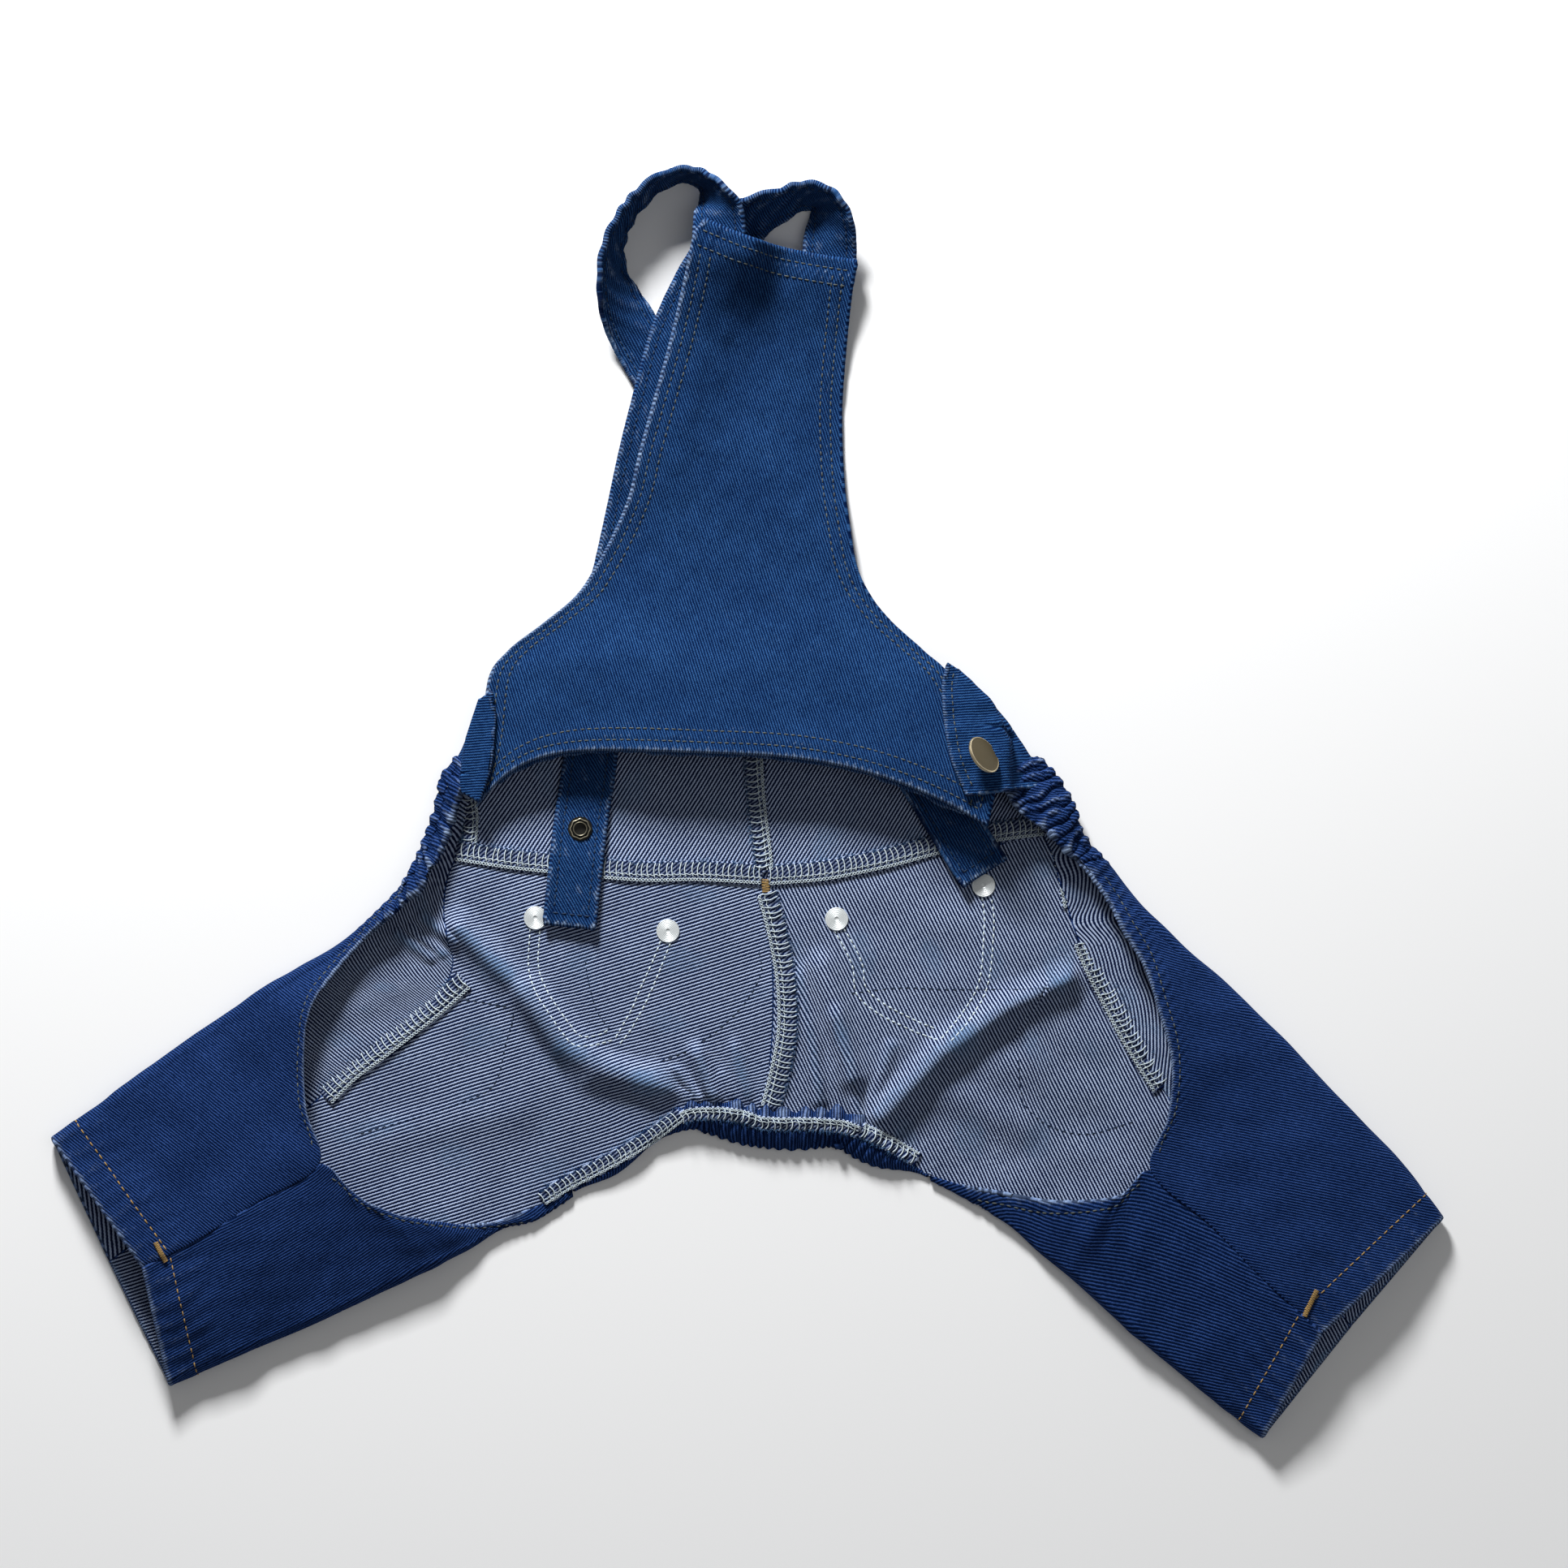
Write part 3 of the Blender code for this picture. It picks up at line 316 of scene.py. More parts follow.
def cloth_material(name, dark, light, rubbed, lines, shares, less, bump, breaks):
    """Wale, slub, fade and grain count by their shares in the step from dark to light."""
    made, shader = new_material(name, CLOTH_ROUGHNESS)
    n = Nodes(made.node_tree)
    place = n.add("ShaderNodeUVMap", uv_map=CLOTH_UV).outputs["UV"]
    weave = n.add("ShaderNodeGroup", node_tree=WEAVE)
    n.link(place, weave.inputs["Vector"])
    weave.inputs["Lines per metre"].default_value = lines
    weave.inputs["Break"].default_value = breaks
    light_share = None
    for output, share in zip(("Wale", "Slub", "Fade", "Grain"), shares):
        part = n.math("MULTIPLY", weave.outputs[output], share)
        light_share = part if light_share is None else n.math("ADD", light_share, part)
    light_share = n.math("SUBTRACT", light_share, sum(shares[1:]) / 2 + less, clamp=True)
    wear = n.add("ShaderNodeGroup", node_tree=WEAR_AND_SHADE)
    n.link(place, wear.inputs["Vector"])
    n.link(n.add("ShaderNodeAttribute", attribute_name="wear").outputs["Fac"], wear.inputs["Wear"])
    colour = n.mix(light_share, (*dark, 1.0), (*light, 1.0))
    on_wales = n.math("ADD", n.math("MULTIPLY", weave.outputs["Wale"], 0.65), 0.20)
    colour = n.mix(n.math("MULTIPLY", wear.outputs["Rubbed"], on_wales), colour, (*rubbed, 1.0))
    # Ditches are mixed towards the dark colour: painted shade, over the darker unrubbed indigo there.
    colour = n.mix(n.math("MULTIPLY", wear.outputs["Ditch"], 0.75), colour, (*dark, 1.0))
    n.link(colour, shader.inputs["Base Color"])
    height = n.add("ShaderNodeBump")
    height.inputs["Strength"].default_value = CLOTH_RELIEF
    height.inputs["Distance"].default_value = bump
    n.link(weave.outputs["Height"], height.inputs["Height"])
    n.link(height.outputs["Normal"], shader.inputs["Normal"])
    shader.inputs["Specular IOR Level"].default_value = CLOTH_GLOSS
    return made


OUTER = cloth_material(
    "denim_outer_twill", (0.0010, 0.009, 0.048), (0.038, 0.130, 0.34), (0.36, 0.48, 0.66),
    1110.0, (0.62, 0.40, 0.40, 1.20), 0.10, 0.00024, 1.1)
LEG = cloth_material(
    "denim_leg_twill", (0.0008, 0.007, 0.036), (0.036, 0.088, 0.29), (0.30, 0.40, 0.58),
    1110.0, (0.72, 0.40, 0.40, 1.20), 0.14, 0.00024, 1.1)
INNER = cloth_material(
    "denim_inner_twill", (0.003, 0.009, 0.044), (0.46, 0.56, 0.78), (0.15, 0.26, 0.44),
    870.0, (1.25, 0.35, 0.45, 0.55), 0.42, 0.00036, 0.6)


def thread_material(name, colour, shade):
    """Spun thread: its colour varies a little from stitch to stitch."""
    made, shader = new_material(name, THREAD_ROUGHNESS)
    n = Nodes(made.node_tree)
    mottle = n.noise(n.add("ShaderNodeTexCoord").outputs["Object"], THREAD_MOTTLE, 2.0)
    n.link(n.mix(mottle, (*shade, 1.0), (*colour, 1.0)), shader.inputs["Base Color"])
    shader.inputs["Specular IOR Level"].default_value = THREAD_GLOSS
    return made


TAN_THREAD = thread_material("thread_tan", (0.13, 0.14, 0.11), (0.03, 0.045, 0.07))
GOLD_THREAD = thread_material("thread_gold", (0.42, 0.27, 0.09), (0.20, 0.13, 0.06))
PALE_THREAD = thread_material("thread_pale", (0.74, 0.82, 0.84), (0.42, 0.52, 0.58))
DARK_THREAD = thread_material("thread_dark", (0.035, 0.06, 0.11), (0.01, 0.02, 0.05))
BLUE_FIBRE = thread_material("fibre_blue", (0.10, 0.22, 0.42), (0.02, 0.06, 0.16))
print("materials:", len(bpy.data.materials))

# %% [markdown]
# The pattern tables repeat the sizes that the solids were built from, so that the finer cloth lies
# in the same place. Every point is a share of a named size. Stations count from the leg's hem.

# %% Sizes
REACH_LEFT, REACH_RIGHT = 0.2436, 0.2319
DROP_LEFT, DROP_RIGHT = 0.1714, 0.1894
CROTCH_DROP = 0.0789
CENTRE_SEAM_BOW = 0.003
YOKE_SEAM_BOW = 0.0022
BIB_FOOT, BIB_LENGTH = 0.1720, 0.2072
BIB_HEM_Y, BIB_HEM_HEIGHT = 0.0206, 0.0250
BIB_BEND_LEFT, BIB_BEND_RIGHT = 6.0, 2.4
BIB_THICKNESS = 0.0020
STRAP_WIDTH = 0.0165
CLOTH, GAP, SEAM_GAP = 0.0011, 0.0003, 0.0006
LEG_FOLD_HEIGHT, LEG_BULGE = 0.0060, 0.0055
FRONT_FULL_FOLD, SEAT_FULL_FOLD = 0.0090, 0.0300
FOLD_FROM, FOLD_TO = 0.36, 0.64
LEAST_FOLD_RADIUS, FOLD_SHARE, BULGE_SHARE = 0.00075, 0.35, 0.30
SEAT_FOLD_WIDTH, SEAT_FOLD_HEIGHT = 0.0090, 0.0038
PLATEAU_FALL, PLATEAU_MARGIN = 0.0380, 0.0040
POCKET_HEIGHT = 0.0450
RIVET_THICKNESS = 0.0008
RIVET_INSET = 0.0022
TAB_CLEARANCE = 0.0060
SEAT_LIFT = RIVET_THICKNESS + CLOTH + 2 * GAP

INSEAM_END = 3
TURN_END = 7.5
CROTCH_STATION = 10
YOKE_STATION = 12
print("reach, mm:", REACH_LEFT * 1000, REACH_RIGHT * 1000)

# %% [markdown]
# Each station is one line across a leg, from the hem up to the waist: the side seam on the floor,
# the front's inner edge on top, its outer fold, and where they differ, the seat's inner edge and
# fold.

# %% Pattern of the legs and tabs
Station = namedtuple("Station", "seam near fold back turn")

LEFT_STATIONS = [
    Station((0.920, 0.755), (0.870, 0.765), (1.000, 0.510), None, (0.835, 1.000)),
    Station((0.820, 0.650), (0.795, 0.710), (0.932, 0.442), None, (0.745, 0.945)),
    Station((0.720, 0.540), (0.710, 0.635), (0.862, 0.368), None, (0.650, 0.890)),
    Station((0.635, 0.440), (0.625, 0.560), (0.800, 0.303), None, (0.560, 0.830)),
    Station((0.570, 0.360), (0.643, 0.450), (0.742, 0.250), (0.570, 0.625), (0.480, 0.775)),
    Station((0.500, 0.285), (0.646, 0.345), (0.692, 0.204), (0.500, 0.670), (0.415, 0.730)),
    Station((0.455, 0.220), (0.638, 0.252), (0.648, 0.165), (0.405, 0.685), (0.370, 0.690)),
    Station((0.438, 0.160), (0.605, 0.180), (0.603, 0.128), (0.325, 0.650), (0.315, 0.668)),
    Station((0.445, 0.110), (0.570, 0.122), (0.560, 0.082), (0.220, 0.575), None),
    Station((0.450, 0.065), (0.536, 0.078), (0.526, 0.036), (0.105, 0.450), None),
    Station((0.450, 0.025), (0.505, 0.040), (0.500, -0.005), None, None),
    Station((0.445, -0.015), (0.485, 0.015), (0.490, -0.040), None, None),
    Station((0.435, -0.050), (0.470, -0.020), (0.480, -0.070), None, None),
    Station((0.420, -0.110), (0.450, -0.080), (0.465, -0.120), None, None),
    Station((0.410, -0.160), (0.435, -0.145), (0.455, -0.180), None, None),
]

RIGHT_STATIONS = [
    Station((0.865, 0.800), (0.820, 0.810), (1.000, 0.605), None, (0.735, 1.000)),
    Station((0.775, 0.665), (0.735, 0.715), (0.935, 0.500), None, (0.655, 0.925)),
    Station((0.680, 0.525), (0.655, 0.615), (0.855, 0.400), None, (0.580, 0.850)),
    Station((0.595, 0.385), (0.570, 0.520), (0.775, 0.295), None, (0.505, 0.770)),
    Station((0.555, 0.310), (0.595, 0.420), (0.720, 0.230), (0.520, 0.565), (0.455, 0.715)),
    Station((0.520, 0.240), (0.600, 0.320), (0.675, 0.175), (0.430, 0.575), (0.405, 0.665)),
    Station((0.490, 0.170), (0.580, 0.225), (0.630, 0.130), (0.350, 0.560), (0.360, 0.615)),
    Station((0.470, 0.120), (0.560, 0.150), (0.595, 0.090), (0.285, 0.545), (0.290, 0.565)),
    Station((0.455, 0.075), (0.530, 0.090), (0.565, 0.055), (0.205, 0.510), None),
    Station((0.445, 0.030), (0.510, 0.040), (0.535, 0.010), (0.130, 0.435), None),
    Station((0.435, -0.005), (0.485, -0.005), (0.510, -0.030), None, None),
    Station((0.425, -0.050), (0.460, -0.040), (0.485, -0.060), None, None),
    Station((0.410, -0.090), (0.440, -0.065), (0.465, -0.095), None, None),
    Station((0.400, -0.130), (0.415, -0.095), (0.455, -0.130), None, None),
    Station((0.385, -0.170), (0.375, -0.130), (0.440, -0.165), None, None),
]

# Side tabs, in the same shares: the edge on top of the bib, the outer fold and the join to the yoke.
TabStation = namedtuple("TabStation", "edge fold join")

LEFT_TAB = [
    TabStation((0.400, -0.165), (0.445, -0.200), (0.405, -0.190)),
    TabStation((0.385, -0.230), (0.430, -0.245), (0.393, -0.240)),
    TabStation((0.380, -0.295), (0.416, -0.297), (0.383, -0.297)),
    TabStation((0.379, -0.340), (0.407, -0.335), (0.377, -0.332)),
    TabStation((0.383, -0.380), (0.400, -0.365), (0.374, -0.366)),
]

RIGHT_TAB = [
    TabStation((0.297, -0.160), (0.432, -0.180), (0.378, -0.185)),
    TabStation((0.275, -0.225), (0.390, -0.230), (0.343, -0.240)),
    TabStation((0.265, -0.298), (0.360, -0.286), (0.309, -0.293)),
    TabStation((0.263, -0.355), (0.325, -0.337), (0.271, -0.342)),
    TabStation((0.268, -0.395), (0.285, -0.384), (0.235, -0.384)),
]

# The bib from its hem to its top: x as a share of its foot, y of its length, from the middle of its
# hem line. bow lifts the middle of a row, as a share of the hem's height. rise is how far the left
# edge, the middle and the right edge stand up, as shares of the bib's rise.
BibRow = namedtuple("BibRow", "left right bow rise")

BIB_ROWS = [
    BibRow((-0.570, 0.030), (0.440, 0.000), 0.85, (0.25, 0.80, 0.65)),
    BibRow((-0.555, 0.120), (0.452, 0.100), 0.45, (0.25, 0.65, 0.65)),
    BibRow((-0.545, 0.235), (0.375, 0.230), 0.15, (0.20, 0.50, 0.45)),
    BibRow((-0.505, 0.285), (0.310, 0.285), 0.05, (0.12, 0.42, 0.25)),
    BibRow((-0.435, 0.330), (0.250, 0.330), 0.00, (0.08, 0.34, 0.12)),
    BibRow((-0.370, 0.375), (0.210, 0.370), 0.00, (0.04, 0.26, 0.06)),
    BibRow((-0.330, 0.425), (0.180, 0.420), 0.00, (0.00, 0.18, 0.00)),
    BibRow((-0.295, 0.480), (0.165, 0.490), 0.00, (0.00, 0.12, 0.00)),
    BibRow((-0.265, 0.540), (0.155, 0.555), 0.00, (0.00, 0.08, 0.00)),
    BibRow((-0.245, 0.610), (0.150, 0.630), 0.00, (0.00, 0.04, 0.00)),
    BibRow((-0.220, 0.685), (0.150, 0.700), 0.00, (0.00, 0.00, 0.00)),
    BibRow((-0.185, 0.790), (0.160, 0.805), 0.00, (0.00, 0.00, 0.00)),
    BibRow((-0.155, 0.895), (0.170, 0.880), 0.00, (0.00, 0.00, 0.00)),
    BibRow((-0.130, 1.000), (0.180, 0.925), 0.00, (0.00, 0.00, 0.00)),
]

# Strap routes from the sewn end to the free end: x as a share of the bib's foot, y of its length.
# level counts strap thicknesses below the strap, and roll is how far its outer edge turns up.
StrapPoint = namedtuple("StrapPoint", "x y level roll")

LEFT_STRAP = [
    StrapPoint(-0.090, 0.955, 4.3, 6),
    StrapPoint(-0.091, 1.005, 4.0, 18),
    StrapPoint(-0.101, 1.037, 2.2, 50),
    StrapPoint(-0.121, 1.060, 0.8, 66),
    StrapPoint(-0.152, 1.070, 0.0, 70),
    StrapPoint(-0.197, 1.063, 0.0, 70),
    StrapPoint(-0.244, 1.035, 0.0, 68),
    StrapPoint(-0.281, 0.995, 0.0, 66),
    StrapPoint(-0.302, 0.949, 0.0, 60),
    StrapPoint(-0.302, 0.903, 0.0, 48),
    StrapPoint(-0.286, 0.858, 0.0, 26),
    StrapPoint(-0.262, 0.816, 0.0, 8),
    StrapPoint(-0.233, 0.772, 0.0, 0),
    StrapPoint(-0.194, 0.716, 0.0, 0),
    StrapPoint(-0.100, 0.582, 0.0, 0),
    StrapPoint(0.029, 0.434, 0.0, 0),
    StrapPoint(0.158, 0.287, 0.0, 0),
    StrapPoint(0.267, 0.146, 0.0, 0),
    StrapPoint(0.352, 0.032, 0.0, 0),
    StrapPoint(0.401, -0.035, 0.0, 0),
    StrapPoint(0.436, -0.080, 0.0, 0),
]

RIGHT_STRAP = [
    StrapPoint(0.128, 0.905, 1.2, 0),
    StrapPoint(0.130, 0.957, 1.2, 8),
    StrapPoint(0.131, 0.997, 0.8, 30),
    StrapPoint(0.115, 1.028, 0.2, 50),
    StrapPoint(0.078, 1.036, 0.0, 55),
    StrapPoint(0.037, 1.023, 0.0, 50),
    StrapPoint(-0.011, 1.005, 0.0, 34),
    StrapPoint(-0.048, 0.984, 0.0, 20),
    StrapPoint(-0.090, 0.941, 0.0, 12),
    StrapPoint(-0.128, 0.889, 0.6, 5),
    StrapPoint(-0.176, 0.800, 1.3, 0),
    StrapPoint(-0.215, 0.681, 1.3, 0),
    StrapPoint(-0.239, 0.601, 0.8, 0),
    StrapPoint(-0.260, 0.520, 0.0, 0),
    StrapPoint(-0.281, 0.440, 0.0, 0),
    StrapPoint(-0.310, 0.334, 0.0, 0),
    StrapPoint(-0.334, 0.220, 0.0, 0),
    StrapPoint(-0.349, 0.095, 0.0, 0),
    StrapPoint(-0.365, 0.005, 0.0, 0),
    StrapPoint(-0.376, -0.075, 0.0, 0),
    StrapPoint(-0.388, -0.168, 0.0, 0),
]

# Folds that stand up from the seat: start, end, and the fold's width and height as shares of the
# seat fold's own. The places are shares of the reach and drop of that side.
Fold = namedtuple("Fold", "start end width height")

LEFT_FOLDS = [
    Fold((0.430, 0.090), (0.340, 0.220), 1.00, 0.80),
    Fold((0.340, 0.220), (0.240, 0.375), 1.10, 1.00),
    Fold((0.240, 0.375), (0.150, 0.400), 1.00, 0.90),
    Fold((0.095, 0.340), (0.075, 0.420), 0.60, 0.60),
]
RIGHT_FOLDS = [
    Fold((0.445, 0.180), (0.360, 0.225), 1.00, 0.80),
    Fold((0.360, 0.225), (0.265, 0.310), 1.10, 1.00),
    Fold((0.265, 0.310), (0.175, 0.430), 1.00, 1.00),
    Fold((0.085, 0.150), (0.115, 0.275), 0.80, 0.60),
    Fold((0.115, 0.275), (0.130, 0.350), 0.80, 0.60),
]

# Pockets: middle of the top edge as shares of reach and drop, turn in degrees, width in metres.
Pocket = namedtuple("Pocket", "middle turn width")
LEFT_POCKET = Pocket((0.229, 0.083), -5.6, 0.0500)
RIGHT_POCKET = Pocket((0.215, 0.035), 12.9, 0.0560)

Side = namedtuple("Side", "name sign reach drop stations tab folds pocket")
LEFT = Side("left", -1, REACH_LEFT, DROP_LEFT, LEFT_STATIONS, LEFT_TAB, LEFT_FOLDS, LEFT_POCKET)
RIGHT = Side("right", 1, REACH_RIGHT, DROP_RIGHT, RIGHT_STATIONS, RIGHT_TAB, RIGHT_FOLDS, RIGHT_POCKET)
SIDES = (LEFT, RIGHT)
print("stations:", len(LEFT_STATIONS), len(RIGHT_STATIONS))

# %% [markdown]
# A few curves serve the whole pattern: an eased step, a smooth curve through the points of a table,
# even points along a line, and the two seams that every panel meets.

# %% Curves
def smooth_step(value):
    value = np.clip(value, 0.0, 1.0)
    return value * value * (3 - 2 * value)


def smooth_curve(points, per_span):
    """Catmull-Rom curve through rows of numbers, per_span steps to each span."""
    points = np.asarray(points, float)
    padded = np.vstack([2 * points[0] - points[1], points, 2 * points[-1] - points[-2]])
    out = []
    for a, b, c, d in zip(padded, padded[1:], padded[2:], padded[3:]):
        t = (np.arange(per_span) / per_span)[:, None]
        out.append(0.5 * (2 * b + (c - a) * t + (2 * a - 5 * b + 4 * c - d) * t * t
                          + (3 * b - a - 3 * c + d) * t ** 3))
    return np.vstack(out + [points[-1:]])


def lengths(line):
    """Distance along a polyline at each of its points."""
    return np.concatenate([[0.0], np.cumsum(np.linalg.norm(np.diff(line, axis=0), axis=1))])


def resample(line, count, trim=0.0, marks=None, hold=0.0):
    """Points along a polyline, evenly spaced or held to marks: (share, index in the line) pairs."""
    line = np.asarray(line, float)
    along = lengths(line)
    wanted = np.linspace(0, along[-1], count)
    if marks:
        shares, places = zip(*marks)
        held = np.interp(np.linspace(0, 1, count), shares, along[list(places)])
        wanted = wanted * (1 - hold) + held * hold
    wanted = np.clip(wanted, trim, along[-1] - trim)
    return np.stack([np.interp(wanted, along, line[:, k]) for k in range(line.shape[1])], axis=1)


def place(side, share):
    """A point of one side's table, as x and y in metres."""
    return np.array([side.sign * side.reach * share[0], -side.drop * share[1]])


def centre_seam(share):
    """The seam between the seat panels, from the yoke seams at 0 to the crotch at 1."""
    return np.array([CENTRE_SEAM_BOW * math.sin(math.pi * share), -CROTCH_DROP * share])


def yoke_seam(side, share):
    """The seam between yoke and seat, from the centre seam at 0 to the side seam at 1."""
    point = place(side, side.stations[YOKE_STATION].seam) * share
    point[1] -= YOKE_SEAM_BOW * math.sin(math.pi * share)
    return point


# %% [markdown]
# The lower cloth lies on the floor, but rides up over the pockets and rivets below it and gathers
# into soft folds towards the crotch. One height field says how high it lies at any point.

# %% Height of the lower cloth
def pocket_point(side, across, down):
    """A point of a pocket, across and down from the middle of its top edge."""
    turn = math.radians(side.pocket.turn)
    right = np.array([math.cos(turn), math.sin(turn)])
    up = np.array([-math.sin(turn), math.cos(turn)])
    return place(side, side.pocket.middle) + across * right + down * up


def plateau(points):
    """1 over the pockets, where the seat lies on them, falling to 0 round them."""
    best = np.zeros(len(points))
    for side in SIDES:
        middle = pocket_point(side, 0.0, -POCKET_HEIGHT / 2)
        away_x = np.abs(points[:, 0] - middle[0]) - side.pocket.width / 2 - PLATEAU_MARGIN
        away_y = np.abs(points[:, 1] - middle[1]) - POCKET_HEIGHT / 2 - PLATEAU_MARGIN - RIVET_INSET
        away = np.hypot(np.maximum(away_x, 0.0), np.maximum(away_y, 0.0))
        best = np.maximum(best, smooth_step(1 - away / PLATEAU_FALL))
    return best


def ridge(points, start, end, width):
    """A bell of height 1 along the line from start to end."""
    run = end - start
    share = np.clip((points - start) @ run / (run @ run), 0.0, 1.0)
    away = np.linalg.norm(points - start - share[:, None] * run, axis=1)
    return smooth_step(1 - away / width)


def lower_level(points):
    """Height of the middle of the cloth that lies on the floor or on the pockets."""
    folds = np.zeros(len(points))
    for side in SIDES:
        for fold in side.folds:
            ends = place(side, fold.start), place(side, fold.end)
            bell = ridge(points, *ends, SEAT_FOLD_WIDTH * fold.width)
            folds = np.maximum(folds, bell * SEAT_FOLD_HEIGHT * fold.height)
    return CLOTH / 2 + SEAT_LIFT * plateau(points) + folds


# %% [markdown]
# A panel is a grid of points, rows by columns. It is made solid here in code, with its own
# thickness at every point, so that hems can be thicker than the cloth between them, and its rim is
# rounded as a turned edge is. The panel also keeps its unrolled coordinates for the weave.

# %% Panels of cloth
RIM_ANGLES = np.radians((50.0, 0.0, -50.0))


def unit(vectors):
    return vectors / np.maximum(np.linalg.norm(vectors, axis=-1, keepdims=True), 1e-12)


def turned(flat, turn):
    """Flat coordinates whose second axis runs along the twill lines, turn degrees in plan."""
    angle = math.radians(90 - turn)
    return flat @ np.array([[math.cos(angle), math.sin(angle)], [-math.sin(angle), math.cos(angle)]])


class Panel:
    """Cloth over a grid. up and down are its half thicknesses. Its wear numbers hold rubbed wear and painted shade on
    both sides, and rubbed wear at the rim.
    """

    def __init__(self, grid, turn, anchor=0, down_at_end=True):
        """turn is the angle of the twill in plan, in degrees."""
        self.grid = grid
        rows, columns = grid.shape[:2]
        ahead, across = np.gradient(grid, axis=0), np.gradient(grid, axis=1)
        self.normal = unit(np.cross(across, ahead))
        if (self.normal[:, -1, 2].mean() > 0) == down_at_end:
            self.normal = -self.normal
        self.up = np.full((rows, columns), CLOTH / 2)
        self.down = np.full((rows, columns), CLOTH / 2)
        self.wear = np.zeros((rows, columns))
        self.back_wear_and_shade = np.zeros((rows, columns))
        self.edge = np.full((rows, columns), 0.35)
        steps = np.linalg.norm(np.diff(grid, axis=1), axis=2)
        self.across = np.concatenate([np.zeros((rows, 1)), np.cumsum(steps, axis=1)], axis=1)
        steps = np.linalg.norm(np.diff(grid, axis=0), axis=2)
        self.along = np.concatenate([np.zeros((1, columns)), np.cumsum(steps, axis=0)], axis=0)
        self.unroll(turn, anchor)

    def unroll(self, turn, anchor):
        """Flat coordinates: the plan at the anchor column, then the arc length along each row."""
        start = self.grid[:, anchor, :2]
        step = 1 if anchor == 0 else -1
        heading = unit(self.grid[:, anchor + 3 * step, :2] - start)
        run = np.abs(self.across - self.across[:, [anchor]])
        self.flat = turned(start[:, None, :] + heading[:, None, :] * run[:, :, None], turn)

    def to_low(self):
        return self.along

    def to_high(self):
        return self.along[-1:] - self.along

    def to_near(self):
        return self.across

    def to_far(self):
        return self.across[:, -1:] - self.across

    def shift(self, amount):
        self.grid = self.grid + self.normal * amount[:, :, None]

    def refresh(self):
        """New normals after the grid was shifted."""
        ahead, across = np.gradient(self.grid, axis=0), np.gradient(self.grid, axis=1)
        fresh = unit(np.cross(across, ahead))
        same = np.sum(fresh * self.normal, axis=2, keepdims=True)
        self.normal = np.where(same < 0, -fresh, fresh)

    def surface(self, outer=True):
        amount = self.up if outer else -self.down
        return self.grid + self.normal * amount[:, :, None]


def border(rows, columns):
    """Grid places round the edge, in order, and for each the place next to it inside."""
    ring = [(0, j) for j in range(columns)] + [(i, columns - 1) for i in range(1, rows)]
    ring += [(rows - 1, j) for j in range(columns - 2, -1, -1)] + [(i, 0) for i in range(rows - 2, 0, -1)]
    inside = [(min(max(i, 1), rows - 2), min(max(j, 1), columns - 2)) for i, j in ring]
    return np.array(ring), np.array(inside)


def add_panel(name, panel, materials):
    """The closed mesh of a panel, kept from sinking below the floor."""
    rows, columns = panel.grid.shape[:2]
    count = rows * columns
    outer, inner = panel.surface(True), panel.surface(False)
    ring, inside = border(rows, columns)
    r, c = ring.T
    top, low = outer[r, c], inner[r, c]
    middle, half = (top + low) / 2, np.linalg.norm(top - low, axis=1)[:, None] / 2
    normal = panel.normal[r, c]
    outward = panel.grid[r, c] - panel.grid[inside[:, 0], inside[:, 1]]
    outward = unit(outward - normal * np.sum(outward * normal, axis=1, keepdims=True))
    rims = [middle + outward * half * math.cos(a) + normal * half * math.sin(a) for a in RIM_ANGLES]
    points = np.vstack([outer.reshape(-1, 3), inner.reshape(-1, 3)] + rims) + ORIGIN
    points[:, 2] = np.maximum(points[:, 2], 0.0)
    index = np.arange(count).reshape(rows, columns)
    quads = np.stack([index[:-1, :-1], index[:-1, 1:], index[1:, 1:], index[1:, :-1]], axis=-1)
    quads = quads.reshape(-1, 4)
    loops = [index[r, c]] + [2 * count + k * len(ring) + np.arange(len(ring)) for k in range(len(rims))]
    loops.append(index[r, c] + count)
    strips = [np.stack([a, b, np.roll(b, -1), np.roll(a, -1)], axis=-1) for a, b in zip(loops, loops[1:])]
    faces = np.vstack([quads, quads[:, ::-1] + count] + strips)
    ahead, across = outer[1:, :-1] - outer[:-1, :-1], outer[:-1, 1:] - outer[:-1, :-1]
    if np.mean(np.sum(np.cross(ahead, across) * panel.normal[:-1, :-1], axis=2)) > 0:
        faces = faces[:, ::-1]
    obj = mesh_object(name, points, faces, materials)
    slots = np.zeros(len(faces), int)
    slots[len(quads):2 * len(quads)] = 1
    obj.data.polygons.foreach_set("material_index", slots)
    flat = np.vstack([panel.flat.reshape(-1, 2)] * 2 + [panel.flat[r, c]] * len(rims))
    write_flat(obj, flat)
    wear = [panel.wear.ravel(), panel.back_wear_and_shade.ravel()] + [panel.edge[r, c]] * len(rims)
    write_wear_and_shade(obj, np.concatenate(wear))
    return obj


def mesh_object(name, points, faces, materials):
    mesh = bpy.data.meshes.new(name)
    mesh.from_pydata(points.tolist(), [], faces.tolist() if isinstance(faces, np.ndarray) else faces)
    for finish in materials:
        mesh.materials.append(finish)
    mesh.shade_smooth()
    obj = bpy.data.objects.new(name, mesh)
    bpy.context.scene.collection.objects.link(obj)
    return obj


def write_flat(obj, flat):
    """Unrolled coordinates, one pair for each vertex, as the mesh's UV map."""
    layer = obj.data.uv_layers.new(name=CLOTH_UV)
    corners = np.zeros(len(obj.data.loops), int)
    obj.data.loops.foreach_get("vertex_index", corners)
    layer.data.foreach_set("uv", flat[corners].ravel())


